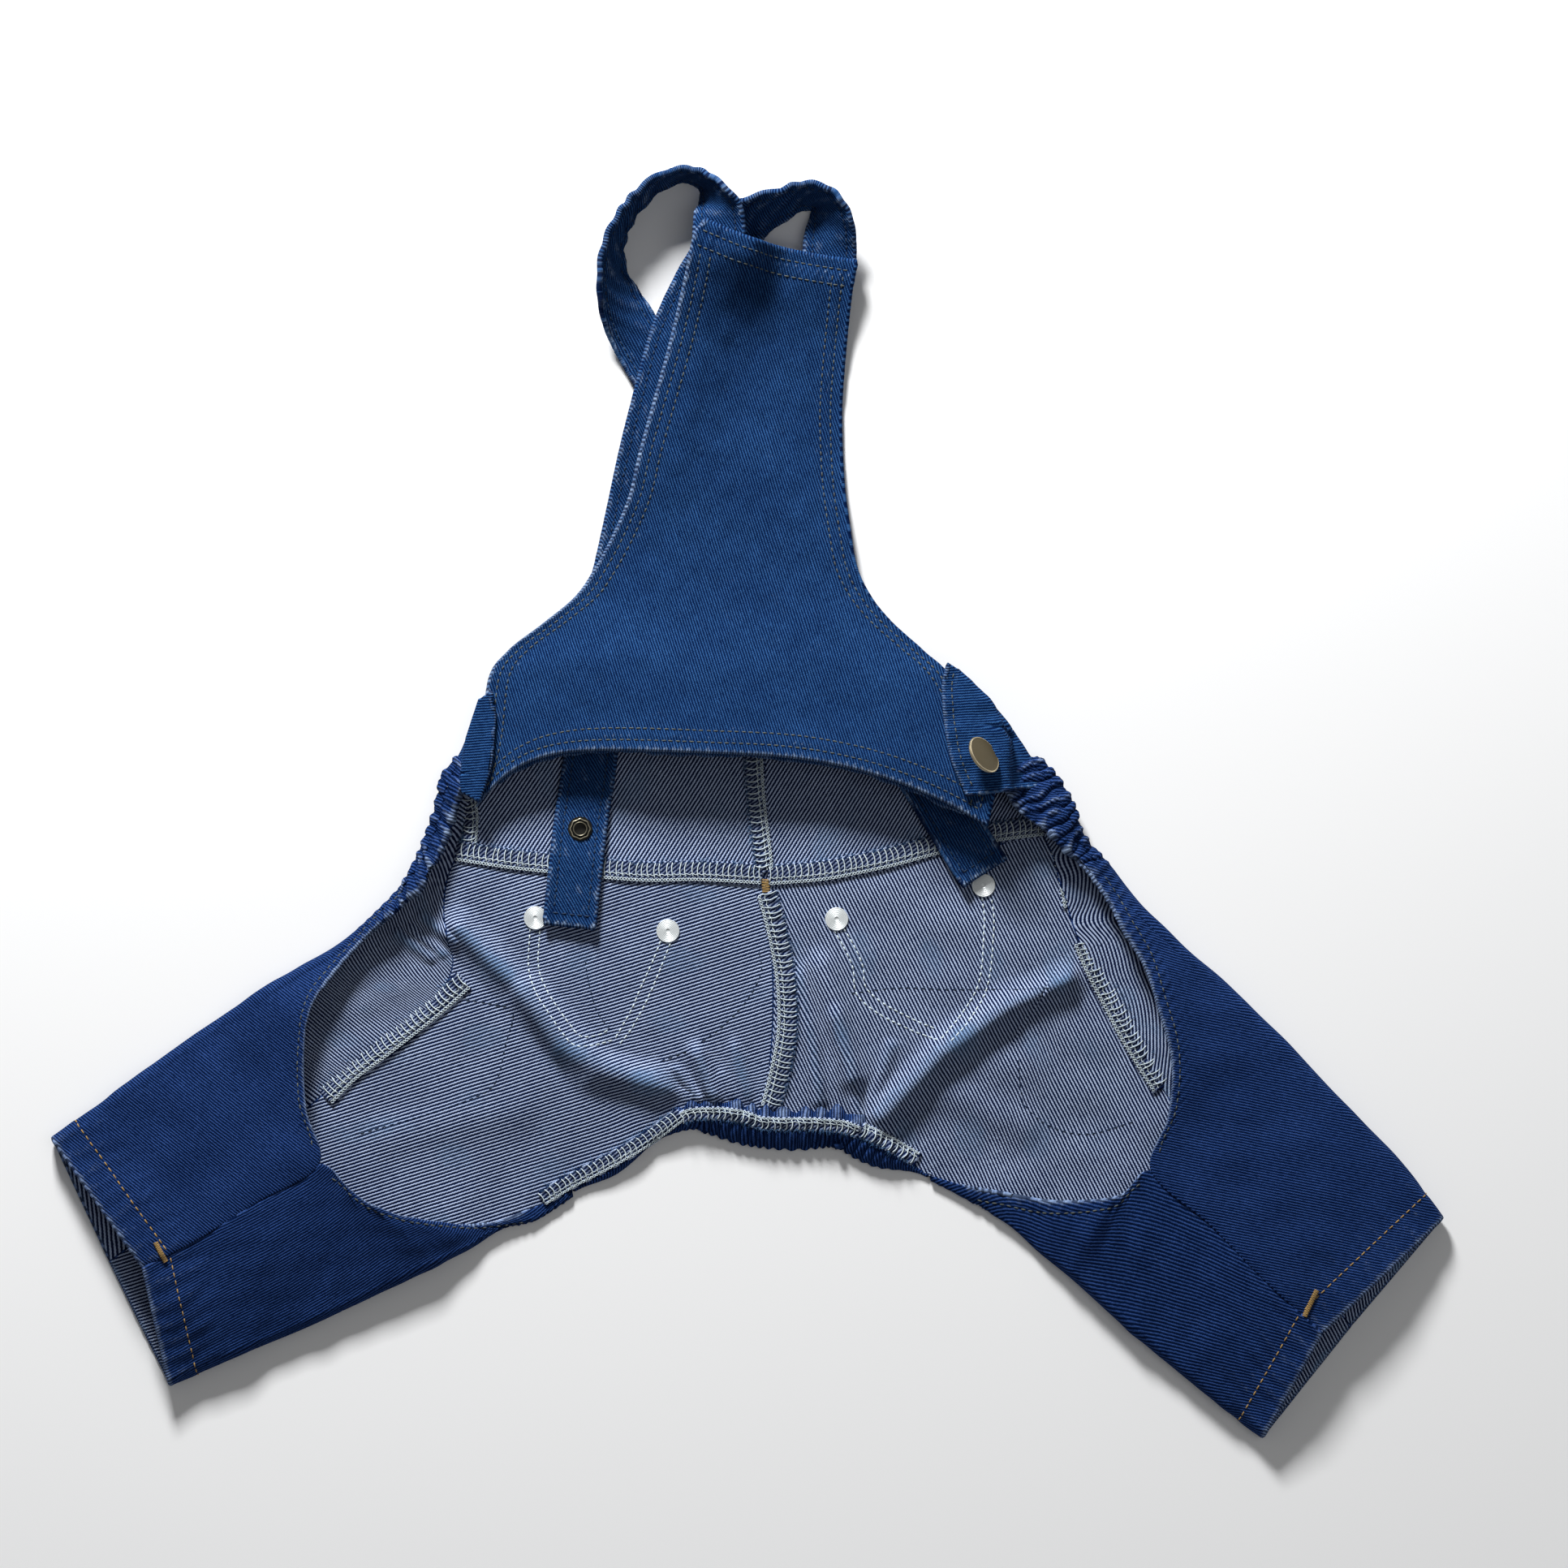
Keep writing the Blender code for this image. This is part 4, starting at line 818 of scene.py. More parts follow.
def write_wear_and_shade(obj, wear):
    attribute = obj.data.attributes.new("wear", "FLOAT", "POINT")
    attribute.data.foreach_set("value", wear.astype(float))


# %% [markdown]
# Cloth is never quite flat. Slow waves and finer crinkles are sums of a few sine waves in seeded
# random directions, read from the unrolled coordinates, so that they pass over folds unbroken.

# %% Crinkles
def waves(flat, length, seed, count=7):
    """A smooth random field of about -1 to 1, with waves of about this length."""
    chance = np.random.default_rng(seed)
    total = np.zeros(flat.shape[:-1])
    for _ in range(count):
        angle = chance.uniform(0, math.pi)
        size = 2 * math.pi / (length * chance.uniform(0.6, 1.6))
        offset = chance.uniform(0, 2 * math.pi)
        run = flat[..., 0] * math.cos(angle) + flat[..., 1] * math.sin(angle)
        total += np.sin(run * size + offset)
    return total / math.sqrt(count)


HEM_STEP = 0.0012
GROOVE_WIDTH, GROOVE_DEPTH = 0.0007, 0.00025
PUCKER_HEIGHT = 0.00022
RUB_REACH = 0.0009


def hem(panel, distance, along, width, extra, stitch, pucker, seed):
    """A turned hem: thicker out to its width, pressed down at the stitch line, puckered along it."""
    band = smooth_step((width - distance) / HEM_STEP + 0.5)
    groove = np.exp(-((distance - stitch) / GROOVE_WIDTH) ** 2)
    drift = waves(np.stack([along, distance], axis=-1), 0.03, seed) * 1.3
    beat = np.sin(2 * math.pi * along / pucker + drift)
    zone = smooth_step(1.6 - np.abs(distance - stitch) / (width * 0.9))
    crumple = beat * zone * PUCKER_HEIGHT
    panel.up += band * extra - groove * GROOVE_DEPTH + crumple
    panel.down += band * extra - groove * GROOVE_DEPTH - crumple
    rubbed = np.exp(-(distance / RUB_REACH) ** 2)
    # The stitch groove is darkened, partly as painted shade; the rubbed edge and the pucker crests turn pale.
    panel.wear += band * 0.06 + rubbed * 0.50 - groove * 0.55
    panel.wear += zone * (np.clip(beat, 0, 1) * 0.22 - 0.06)
    panel.back_wear_and_shade += rubbed * 0.5 - groove * 0.5


# %% [markdown]
# A leg is laid out section by section. From the near edge the cloth bulges a little on top, turns
# round the outer fold in a half circle and runs back below. The bulge and the fold shrink where the
# section is narrow. A cover lifts the upper part over what lies below it, as the tabs lie on the bib.

# %% Sections across a leg
TOP_POINTS, TURN_POINTS, LOW_POINTS = 25, 21, 61


def section(near, fold, seam, crest, count, full_fold, cover=None):
    """Cross-section from the near edge over the outer fold and back under to the seam."""
    width = np.linalg.norm(fold - near)
    grown = min(width / full_fold, 1.0)
    radius = min(max(LEG_FOLD_HEIGHT / 2 * grown, LEAST_FOLD_RADIUS), FOLD_SHARE * width)
    crest = max(crest - 2 * radius, 0.0) if cover else min(crest, BULGE_SHARE * width) * grown
    out_top, out_low = unit(fold - near), unit(fold - seam)
    share = np.linspace(0, 1, TOP_POINTS)[:, None]
    top = near + (fold - radius * out_top - near) * share
    top_z = 2 * radius + crest * np.cos(share * math.pi / 2)
    share = np.linspace(0, 1, TURN_POINTS)[1:, None]
    out = out_top * (1 - share) + out_low * share
    angle = math.pi / 2 - math.pi * share
    turn = fold - radius * out + radius * np.cos(angle) * out
    turn_z = radius + radius * np.sin(angle)
    share = np.linspace(0, 1, LOW_POINTS)[1:, None]
    start = fold - radius * out_low
    low = start + (seam - start) * share
    plan = np.vstack([top, turn, low])
    height = np.vstack([top_z, turn_z, np.zeros((len(low), 1))])[:, 0]
    level = height + lower_level(plan)
    if cover:
        felt = np.array([cover(x, y) if z > radius else 0.0 for (x, y), z in zip(plan, height)])
        level = np.maximum(level, felt)
    line = np.column_stack([plan, level])
    turn_start = TOP_POINTS - 1
    turn_end = turn_start + TURN_POINTS - 1
    marks = ((0.0, 0), (FOLD_FROM, turn_start), (FOLD_TO, turn_end), (1.0, len(line) - 1))
    hold = float(smooth_step(width / FRONT_FULL_FOLD))
    return resample(line, count, SEAM_GAP / 2, marks, hold)


def station_rows(side, per_station):
    """The stations of one side in metres, with the rows between them."""
    rows = []
    for number, station in enumerate(side.stations):
        back = station.back or station.near
        if number >= CROTCH_STATION:
            share = max(YOKE_STATION - number, 0) / (YOKE_STATION - CROTCH_STATION)
            back = centre_seam(share) / (side.sign * side.reach, -side.drop)
        points = (station.seam, station.near, station.fold, back, station.turn or back)
        rows.append(np.concatenate([place(side, point) for point in points]))
    rows = smooth_curve(rows, per_station)
    for number in range(len(rows)):
        station = number / per_station
        if station <= INSEAM_END:
            rows[number, 6:8] = rows[number, 2:4]
        if CROTCH_STATION <= station <= YOKE_STATION:
            rows[number, 6:8] = centre_seam((YOKE_STATION - station) / (YOKE_STATION - CROTCH_STATION))
        if station > TURN_END:
            rows[number, 8:10] = rows[number, 6:8]
    return rows


# %% [markdown]
# Each leg is a front panel and a back panel. The front starts at the inseam on top, runs over the
# outer fold and back under to the side seam. The back starts at the inseam too, folds at the inner
# side and runs under to the same seam, so together they are a flattened tube. Above the inseam the
# panels part and their rims edge the belly opening.

# %% Legs
LEG_ROWS = 16
FRONT_COLUMNS = 84
SEAT_COLUMNS = 100
YOKE_ROW = YOKE_STATION * LEG_ROWS
leg_rows = {side.name: station_rows(side, LEG_ROWS) for side in SIDES}
TWILL = {"front_left": -38, "front_right": -12, "seat_left": 18, "seat_right": -63,
         "yoke_left": 58, "yoke_right": 58}

# Two more stations of each front, which run on below the tab.
UNDER_TABS = {
    "left": [Station((0.400, -0.200), (0.425, -0.185), (0.450, -0.215), None, None),
             Station((0.392, -0.240), (0.410, -0.225), (0.432, -0.250), None, None)],
    "right": [Station((0.372, -0.200), (0.358, -0.160), (0.426, -0.195), None, None),
              Station((0.352, -0.235), (0.345, -0.195), (0.402, -0.225), None, None)],
}


def make_front(side):
    rows = station_rows(side._replace(stations=side.stations + UNDER_TABS[side.name]), LEG_ROWS)
    grid = np.array([section(row[2:4], row[4:6], row[0:2], LEG_BULGE, FRONT_COLUMNS, FRONT_FULL_FOLD)
                     for row in rows])
    return Panel(grid, TWILL["front_" + side.name])


def make_seat(side):
    rows = leg_rows[side.name][:YOKE_ROW]
    grid = [section(row[6:8], row[8:10], row[0:2], LEG_BULGE, SEAT_COLUMNS, SEAT_FULL_FOLD)
            for row in rows]
    seam = np.array([yoke_seam(side, share) for share in np.linspace(0, 1, 65)])
    seam = resample(seam, SEAT_COLUMNS, SEAM_GAP / 2) - (0.0, SEAM_GAP / 2)
    grid.append(np.column_stack([seam, lower_level(seam)]))
    return Panel(np.array(grid), TWILL["seat_" + side.name], anchor=-1)


fronts = {side.name: make_front(side) for side in SIDES}
seats = {side.name: make_seat(side) for side in SIDES}
print("front grid:", fronts["left"].grid.shape, "seat grid:", seats["left"].grid.shape)

# %% [markdown]
# The yokes fill the space between the waist seam and the waist edge. They are flat patches spanned
# between their four edges.

# %% Yokes
YOKE_STEPS = 60


def side_edge(side):
    """The yoke's outer edge, from the yoke seam up along the casing and the tab."""
    points = [place(side, station.seam) for station in side.stations[YOKE_STATION:]]
    points += [place(side, station.join) for station in side.tab]
    return resample(smooth_curve(points, 8), YOKE_STEPS)


def make_yoke(side):
    outer = side_edge(side)
    top_centre = np.array([0.0, WAIST_RISE])
    across = np.linspace(0, 1, YOKE_STEPS)[None, :, None]
    rise = np.linspace(0, 1, YOKE_STEPS)[:, None, None]
    low = np.array([yoke_seam(side, share) for share in across.ravel()])[None]
    high = top_centre * (1 - across) + outer[-1] * across
    inner = top_centre * rise
    corners = ((1 - across) * (1 - rise) * low[0, 0] + across * (1 - rise) * outer[0]
               + (1 - across) * rise * top_centre + across * rise * outer[-1])
    plan = low * (1 - rise) + high * rise + inner * (1 - across) + outer[:, None] * across - corners
    plan[0, :, 1] += SEAM_GAP / 2
    plan[:, 0, 0] += side.sign * SEAM_GAP / 2
    height = lower_level(plan.reshape(-1, 2)).reshape(YOKE_STEPS, YOKE_STEPS)
    return Panel(np.dstack([plan, height]), TWILL["yoke_" + side.name])


yokes = {side.name: make_yoke(side) for side in SIDES}
print("yoke grid:", yokes["left"].grid.shape)

# %% [markdown]
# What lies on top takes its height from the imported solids, felt with rays from above. The readings
# are smoothed, because the solids are coarser than the cloth.

# %% Feeling the solids
RAY_START, RAY_STEP = 0.2, 0.00001


class Felt:
    """The shape of CAD nodes, given by name, or of other meshes. Places are from the seam crossing."""

    def __init__(self, pieces):
        graph = bpy.context.evaluated_depsgraph_get()
        points, faces = [], []
        for piece in pieces:
            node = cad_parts[piece] if isinstance(piece, str) else piece
            mesh = node.evaluated_get(graph).to_mesh()
            start = len(points)
            points += [node.matrix_world @ vertex.co for vertex in mesh.vertices]
            faces += [[start + k for k in face.vertices] for face in mesh.polygons]
        self.tree = BVHTree.FromPolygons(points, faces)

    def top(self, x, y, start=RAY_START):
        hit = self.tree.ray_cast(Vector((x + ORIGIN[0], y + ORIGIN[1], start)), Vector((0, 0, -1)))
        return hit[0].z if hit[0] else None

    def middle(self, x, y):
        """Half way between the first and the second surface below."""
        high = self.top(x, y)
        if high is None:
            return None
        low = self.top(x, y, high - RAY_STEP)
        return (high + (low if low is not None else high)) / 2

    def highest(self, x, y, reach):
        steps = (-reach, -reach / 2, 0.0, reach / 2, reach)
        return max(self.top(x + dx, y + dy) or 0.0 for dx in steps for dy in steps)


def blur(field, rounds):
    """Smooths a grid of heights, with its edge values repeated outside it."""
    for _ in range(rounds):
        padded = np.pad(field, 1, mode="edge")
        field = (padded[:-2, 1:-1] + padded[2:, 1:-1] + padded[1:-1, :-2] + padded[1:-1, 2:]
                 + 2 * field) / 6
    return field


# %% [markdown]
# The bib is one panel, narrow at the top and wide at the hem, where it stands up from the waist
# like the lip of a shovel. Its sides and its hem are turned twice and stitched.

# %% Bib
BIB_STEPS = 12
BIB_COLUMNS = 136
BIB_TWILL = -72
BIB_TOP_SAG = 0.0031
BIB_BLUR = 30
CORNER_REACH, CORNER_PULL = 0.0045, (0.0022, -0.0016)
# Where a ray misses the solid, it is sent again this share of the way to the middle.
INWARD_SHARES = (0.0, 0.004, 0.01, 0.02, 0.04, 0.08)


def make_bib():
    rows = smooth_curve([[*row.left, *row.right, row.bow, *row.rise] for row in BIB_ROWS], BIB_STEPS)
    across = np.linspace(0, 1, BIB_COLUMNS)
    bend = np.where(across < 0.5, BIB_BEND_LEFT, BIB_BEND_RIGHT)
    flat_middle = 1 - np.abs(2 * across - 1) ** bend
    left, right, bow = rows[:, 0:2], rows[:, 2:4], rows[:, 4:5]
    plan = left[:, None] + (right - left)[:, None] * across[None, :, None]
    plan *= (BIB_FOOT, BIB_LENGTH)
    plan[:, :, 1] += BIB_HEM_Y + bow * BIB_HEM_HEIGHT * flat_middle
    upward = np.linspace(0, 1, len(plan))[:, None]
    plan[:, :, 1] -= BIB_TOP_SAG * np.sin(math.pi * across ** 0.75) * upward ** 6
    from_corner = np.linalg.norm(plan - plan[-1, 0], axis=2)
    plan += np.exp(-(from_corner / CORNER_REACH) ** 2)[:, :, None] * CORNER_PULL
    solid = Felt(["bib"])
    height = np.zeros(plan.shape[:2])
    centre = plan.mean(axis=(0, 1))
    for i, j in np.ndindex(height.shape):
        for pull in INWARD_SHARES:
            felt = solid.middle(*(plan[i, j] * (1 - pull) + centre * pull))
            if felt is not None:
                break
        height[i, j] = felt if felt is not None else height[i, max(j - 1, 0)]
    panel = Panel(np.dstack([plan, blur(height, BIB_BLUR)]), BIB_TWILL, down_at_end=False)
    panel.flat = turned(plan, BIB_TWILL)
    return panel


bib = make_bib()
bib_heights = bib.grid[:, :, 2] * 1000
print("bib heights, mm:", bib_heights.min().round(1), bib_heights.max().round(1))

# %% [markdown]
# The straps are flat belts, stitched along both edges. At the top each one turns over on edge in a
# loop, so a belt is laid along its route with a roll that changes along it.

# %% Straps
STRAP_STEPS = 12
STRAP_COLUMNS = 22
STRAP_BLUR = 40
STRAP_TWILL = -60
STRAP_EXTRA_ROLL = math.radians(9)
FULL_ROLL = math.radians(40)


def make_strap(table, node):
    rows = [(p.x * BIB_FOOT, p.y * BIB_LENGTH + BIB_HEM_Y, math.radians(p.roll)) for p in table]
    rows = smooth_curve(rows, STRAP_STEPS)
    ahead = unit(np.gradient(rows[:, :2], axis=0))
    outward = np.stack([ahead[:, 1], -ahead[:, 0]], axis=1)
    solid = Felt([node])
    level = [solid.middle(*point) for point in rows[:, :2]]
    known = [k for k, z in enumerate(level) if z is not None]
    level = np.interp(np.arange(len(rows)), known, [level[k] for k in known])
    level = blur(np.tile(level[:, None], (1, 3)), STRAP_BLUR)[:, 1]
    roll = np.maximum(rows[:, 2], 0.0)
    roll = (roll + STRAP_EXTRA_ROLL * smooth_step(roll / FULL_ROLL))[:, None]
    wide = np.column_stack([outward * np.cos(roll), np.sin(roll)])
    share = np.linspace(-0.5, 0.5, STRAP_COLUMNS)[None, :, None]
    centre = np.column_stack([rows[:, :2], level])
    grid = centre[:, None] + wide[:, None] * share * STRAP_WIDTH
    return Panel(grid, STRAP_TWILL, down_at_end=False)


straps = {"left": make_strap(LEFT_STRAP, "strap_left"),
          "right": make_strap(RIGHT_STRAP, "strap_right")}
print("strap grid:", straps["left"].grid.shape)

# %% [markdown]
# The side tabs join the waist to the bib. Each is sewn to the yoke, turns round the outer fold and
# comes to lie on the bib, whose height it feels.

# %% Side tabs
TAB_STEPS = 14
TAB_COLUMNS = 70
TAB_BLUR = 3
TAB_TWILL = 4


def make_tab(side):
    """A folded tab from the waist's side, over the outer fold and onto the bib."""
    rows = [np.concatenate([place(side, point) for point in station]) for station in side.tab]
    rows = smooth_curve(rows, TAB_STEPS)
    solid = Felt(["bib"])
    margin = GAP + CLOTH / 2
    grid = []
    for row in rows:
        crest = solid.highest(*row[0:2], TAB_CLEARANCE) + margin

        def cover(x, y):
            felt = solid.highest(x, y, TAB_CLEARANCE)
            return felt + margin if felt else 0.0

        grid.append(section(row[0:2], row[2:4], row[4:6], crest, TAB_COLUMNS, FRONT_FULL_FOLD, cover))
    grid = np.array(grid)
    grid[:, :, 2] = blur(grid[:, :, 2], TAB_BLUR)
    return Panel(grid, TAB_TWILL)


tabs = {side.name: make_tab(side) for side in SIDES}
print("tab grid:", tabs["right"].grid.shape)

# %% [markdown]
# The cloth is shaped in a few steps. The upper layers get slow waves, the lower layers small lifts
# and the long creases that run to the crotch. Then the hems are turned: the legs' own hems, the
# rolled rims of the belly opening, and the gathered casings at the sides.

# %% Creases of the seat
Crease = namedtuple("Crease", "start end width height")

CREASES = [
    Crease((566, 1146), (640, 1215), 0.0050, 0.0016),
    Crease((640, 1215), (690, 1290), 0.0055, 0.0022),
    Crease((690, 1290), (800, 1335), 0.0060, 0.0016),
    Crease((800, 1335), (850, 1352), 0.0040, 0.0012),
    Crease((858, 1296), (878, 1352), 0.0032, 0.0022),
    Crease((834, 1318), (858, 1352), 0.0026, 0.0016),
    Crease((905, 1290), (921, 1350), 0.0030, 0.0018),
    Crease((890, 1322), (902, 1350), 0.0024, 0.0012),
    Crease((985, 1200), (1002, 1290), 0.0040, 0.0016),
    Crease((1002, 1290), (1010, 1356), 0.0032, 0.0020),
    Crease((1030, 1250), (1052, 1330), 0.0040, 0.0020),
    Crease((1052, 1330), (1058, 1372), 0.0030, 0.0016),
    Crease((1086, 1372), (1160, 1296), 0.0060, 0.0022),
    Crease((1160, 1296), (1245, 1238), 0.0060, 0.0018),
    Crease((1245, 1238), (1316, 1206), 0.0045, 0.0016),
    Crease((1075, 1360), (1098, 1290), 0.0035, 0.0012),
    Crease((520, 1130), (560, 1160), 0.0030, 0.0014),
    Crease((490, 1150), (530, 1180), 0.0030, 0.0014),
    Crease((545, 1175), (505, 1145), 0.0026, 0.0012),
    Crease((760, 1150), (800, 1260), 0.0070, 0.0006),
    Crease((1130, 1330), (1260, 1390), 0.0090, 0.0008),
    Crease((480, 1400), (640, 1370), 0.0100, 0.0008),
]


def crease_height(points):
    total = np.zeros(len(points))
    for crease in CREASES:
        start, end = photo(crease.start), photo(crease.end)
        total = np.maximum(total, ridge(points, start, end, crease.width) * crease.height)
    return total


def upper_share(panel):
    """1 where the panel's outer side looks up, 0 where it looks down."""
    return smooth_step(panel.normal[:, :, 2] + 0.4)


def lift_lower(panel, seed, amount):
    """Creases and small lifts of a cloth that lies below."""
    low = 1 - upper_share(panel)
    plan = panel.grid[:, :, :2].reshape(-1, 2)
    creases = crease_height(plan).reshape(low.shape)
    lifts = amount * (1 + waves(panel.flat, 0.020, seed)) * 0.5
    worn = np.clip(waves(panel.flat, 0.022, seed + 20) - 0.3, 0, 1) * 0.45
    panel.back_wear_and_shade += low * (np.minimum(creases / 0.0016, 1.0) ** 2 * 0.45 + worn)
    panel.grid[:, :, 2] += low * (creases + np.maximum(lifts, 0.0))
    panel.refresh()


for side in SIDES:
    front, seat = fronts[side.name], seats[side.name]
    front.shift(upper_share(front) * (0.0005 * waves(front.flat, 0.050, 3) + 0.00022 * waves(front.flat, 0.014, 4)))
    seat.shift(upper_share(seat) * (0.0005 * waves(seat.flat, 0.050, 5) + 0.00022 * waves(seat.flat, 0.014, 6)))
    front.refresh()
    lift_lower(seat, 7, 0.0005)
    lift_lower(front, 8, 0.0003)
    lift_lower(yokes[side.name], 9, 0.0002)

# %% Hems of the legs and rims of the opening
LEG_STITCH = 0.0098
RIM_STITCH = 0.0040
rim_row = INSEAM_END * LEG_ROWS


def rim(panel, first, last, seed):
    """The rolled rim at a panel's near edge, between two rows."""
    rows = np.arange(panel.grid.shape[0])[:, None]
    here = smooth_step((rows - first) / 6) * smooth_step((last - rows) / 6)
    far = panel.to_near() + (1 - here) * 0.05
    hem(panel, far, np.repeat(panel.along[:, :1], far.shape[1], axis=1), 0.0042, 0.00025,
        RIM_STITCH, 0.0040, seed)
    panel.edge[:, 0] = 0.15 + 0.5 * here[:, 0]


for side in SIDES:
    front, seat = fronts[side.name], seats[side.name]
    for panel, seed in ((front, 21), (seat, 22)):
        hem(panel, panel.to_low(), panel.across, 0.0104, 0.00030, LEG_STITCH, 0.0062, seed)
        panel.edge[0] = 0.5
        panel.edge[-1] = 0.1
        panel.edge[:, -1] = 0.1
    rim(front, rim_row, len(front.grid), 23)
    rim(seat, rim_row, 7.2 * LEG_ROWS, 24)

# %% [markdown]
# Elastic inside the side casings draws the cloth up in tight gathers. They run across the casing, so the outline
# becomes wavy and the rubbed crests turn pale. The valleys between them are darkened as painted shade.

# %% Gathers at the sides
def gather(panel, first, last, pitch, depth, seed):
    rows = np.arange(panel.grid.shape[0])[:, None]
    here = smooth_step((rows - first) / 20) * smooth_step((last - rows) / 4 + 1)
    along = np.repeat(panel.along.mean(axis=1)[:, None], panel.grid.shape[1], axis=1)
    drift = waves(panel.flat, 0.010, seed) * 1.4
    beat = np.sin(2 * math.pi * along / pitch + drift)
    fine = np.sin(2 * math.pi * along / (pitch * 0.43) + drift * 1.7)
    fold = (0.5 + 0.5 * beat) * depth + (0.5 + 0.5 * fine) * depth * 0.35
    panel.shift(fold * here * upper_share(panel))
    # Crests are rubbed pale; the valleys are darkened as painted shade.
    panel.wear += here * (np.clip(beat, 0, 1) ** 4 * 0.45 - np.clip(-beat, 0, 1) * 0.6 + fine * 0.20 - 0.10)
    panel.refresh()


gather(fronts["left"], 8.6 * LEG_ROWS, len(fronts["left"].grid), 0.0052, 0.0011, 31)
gather(fronts["right"], 9.6 * LEG_ROWS, len(fronts["right"].grid), 0.0048, 0.0012, 32)

# %% Edges of bib, straps and tabs
def turned_edge(panel, distance, along, lines, thick, seed, rubbed=0.5):
    """An edge that is turned, stitched along lines and rubbed, with short pulls between the stitches."""
    width = lines[-1] + 0.0006
    band = smooth_step((width - distance) / 0.0010 + 0.5)
    pulls = np.sin(2 * math.pi * (along + distance * 0.8) / 0.0026 + waves(panel.flat, 0.02, seed))
    lip = np.exp(-(distance / 0.0008) ** 2)
    panel.up += band * thick + pulls * band * 0.00007 + lip * 0.00025
    panel.wear += band * (0.24 * pulls - 0.06) + lip * rubbed
    for line in lines:
        groove = np.exp(-((distance - line) / 0.0006) ** 2)
        panel.up -= groove * 0.00022
        # The stitch grooves are darkened, partly as painted shade.
        panel.wear -= groove * 0.45
        panel.wear += 0.28 * np.exp(-((distance - line - 0.0013) / 0.0006) ** 2) * np.clip(pulls, 0, 1)


BIB_SIDE_LINES = (0.0031, 0.0067)
BIB_HEM_LINES = (0.0029, 0.0071)
BIB_TOP_LINES = (0.0031, 0.0084)
for panel in [bib, *straps.values()]:
    panel.up[:] = BIB_THICKNESS / 2 - 0.0002
    panel.down[:] = BIB_THICKNESS / 2 - 0.0002

bib.shift(0.0005 * waves(bib.flat, 0.060, 11) + 0.00012 * waves(bib.flat, 0.012, 12))
turned_edge(bib, bib.to_near(), bib.along, BIB_SIDE_LINES, 0.00020, 41)
turned_edge(bib, bib.to_far(), bib.along, BIB_SIDE_LINES, 0.00020, 42, 0.10)
turned_edge(bib, bib.to_low(), bib.across, BIB_HEM_LINES, 0.00020, 43)
turned_edge(bib, bib.to_high(), bib.across, BIB_TOP_LINES, 0.00020, 44, 0.15)
bib.edge[:] = 0.50
bib.edge[:, -1] = 0.05
bib.edge[-1] = 0.15

STRAP_LINE = 0.0024
STRAP_END = 0.0035
for seed, strap in enumerate(straps.values()):
    loop = smooth_step(1 - np.abs(strap.along - 0.055) / 0.055)
    ribs = np.sin(2 * math.pi * strap.along / 0.0085 + waves(strap.flat, 0.03, 50 + seed) * 1.2)
    strap.shift(ribs * loop * 0.00035 + ribs * 0.00010)
    # Rib crests are rubbed pale; the rib troughs and the standing loop are darkened as painted shade, on both sides.
    strap.wear += np.clip(ribs, -1, 1) * (0.14 + 0.22 * loop) - 0.12 * loop
    strap.wear += np.clip(waves(strap.flat, 0.010, 55 + seed) - 0.2, 0, 1) * 0.18
    strap.back_wear_and_shade += np.clip(-ribs, -1, 1) * (0.10 + 0.22 * loop) - 0.12 * loop
    for distance in (strap.to_near(), strap.to_far()):
        turned_edge(strap, distance, strap.along, (STRAP_LINE,), 0.00012, 60 + seed, 0.35)
        strap.down += np.exp(-(distance / 0.0011) ** 2) * 0.0002
        strap.back_wear_and_shade += np.exp(-(distance / 0.0009) ** 2) * 0.5
    turned_edge(strap, strap.to_high(), strap.across, (STRAP_END,), 0.00015, 65 + seed)
    strap.refresh()
    strap.edge[:] = 0.28

TAB_LINE = 0.0028
for seed, tab in enumerate(tabs.values()):
    turned_edge(tab, tab.to_near(), tab.along, (TAB_LINE,), 0.00015, 70 + seed, 0.35)
    turned_edge(tab, tab.to_low(), tab.across, (TAB_LINE,), 0.00015, 72 + seed, 0.35)
    tab.shift(upper_share(tab) * (0.00035 * waves(tab.flat, 0.012, 74 + seed)))
    tab.refresh()
    tab.edge[:] = 0.35
print("bib rows and columns:", bib.grid.shape[:2], "strap length, mm:", (straps["left"].along.max() * 1000).round())

# %% [markdown]
# Between the legs an elastic casing gathers the edge of the opening. Its upper lip stands in rubbed puffs, the lower
# part lies in pleats darkened as painted shade under the lip, and it tapers into the legs' inner folds at both ends.

# %% Crotch casing
CASING_WIDTH = 0.0105
CASING_ROWS = 380
CASING_COLUMNS = 34
CASING_FIRST = 7.6


def casing_route():
    """The edge of the opening at the crotch, from the left leg to the right one."""
    first, last = int(CASING_FIRST * LEG_ROWS), CROTCH_STATION * LEG_ROWS
    halves = [leg_rows[side.name][first:last + 1, 6:8] for side in SIDES]
    edge = resample(np.vstack([halves[0], halves[1][-2::-1]]), 9)
    route = resample(smooth_curve(edge, 12), CASING_ROWS)
    ahead = unit(np.gradient(route, axis=0))
    return route, np.stack([-ahead[:, 1], ahead[:, 0]], axis=1)


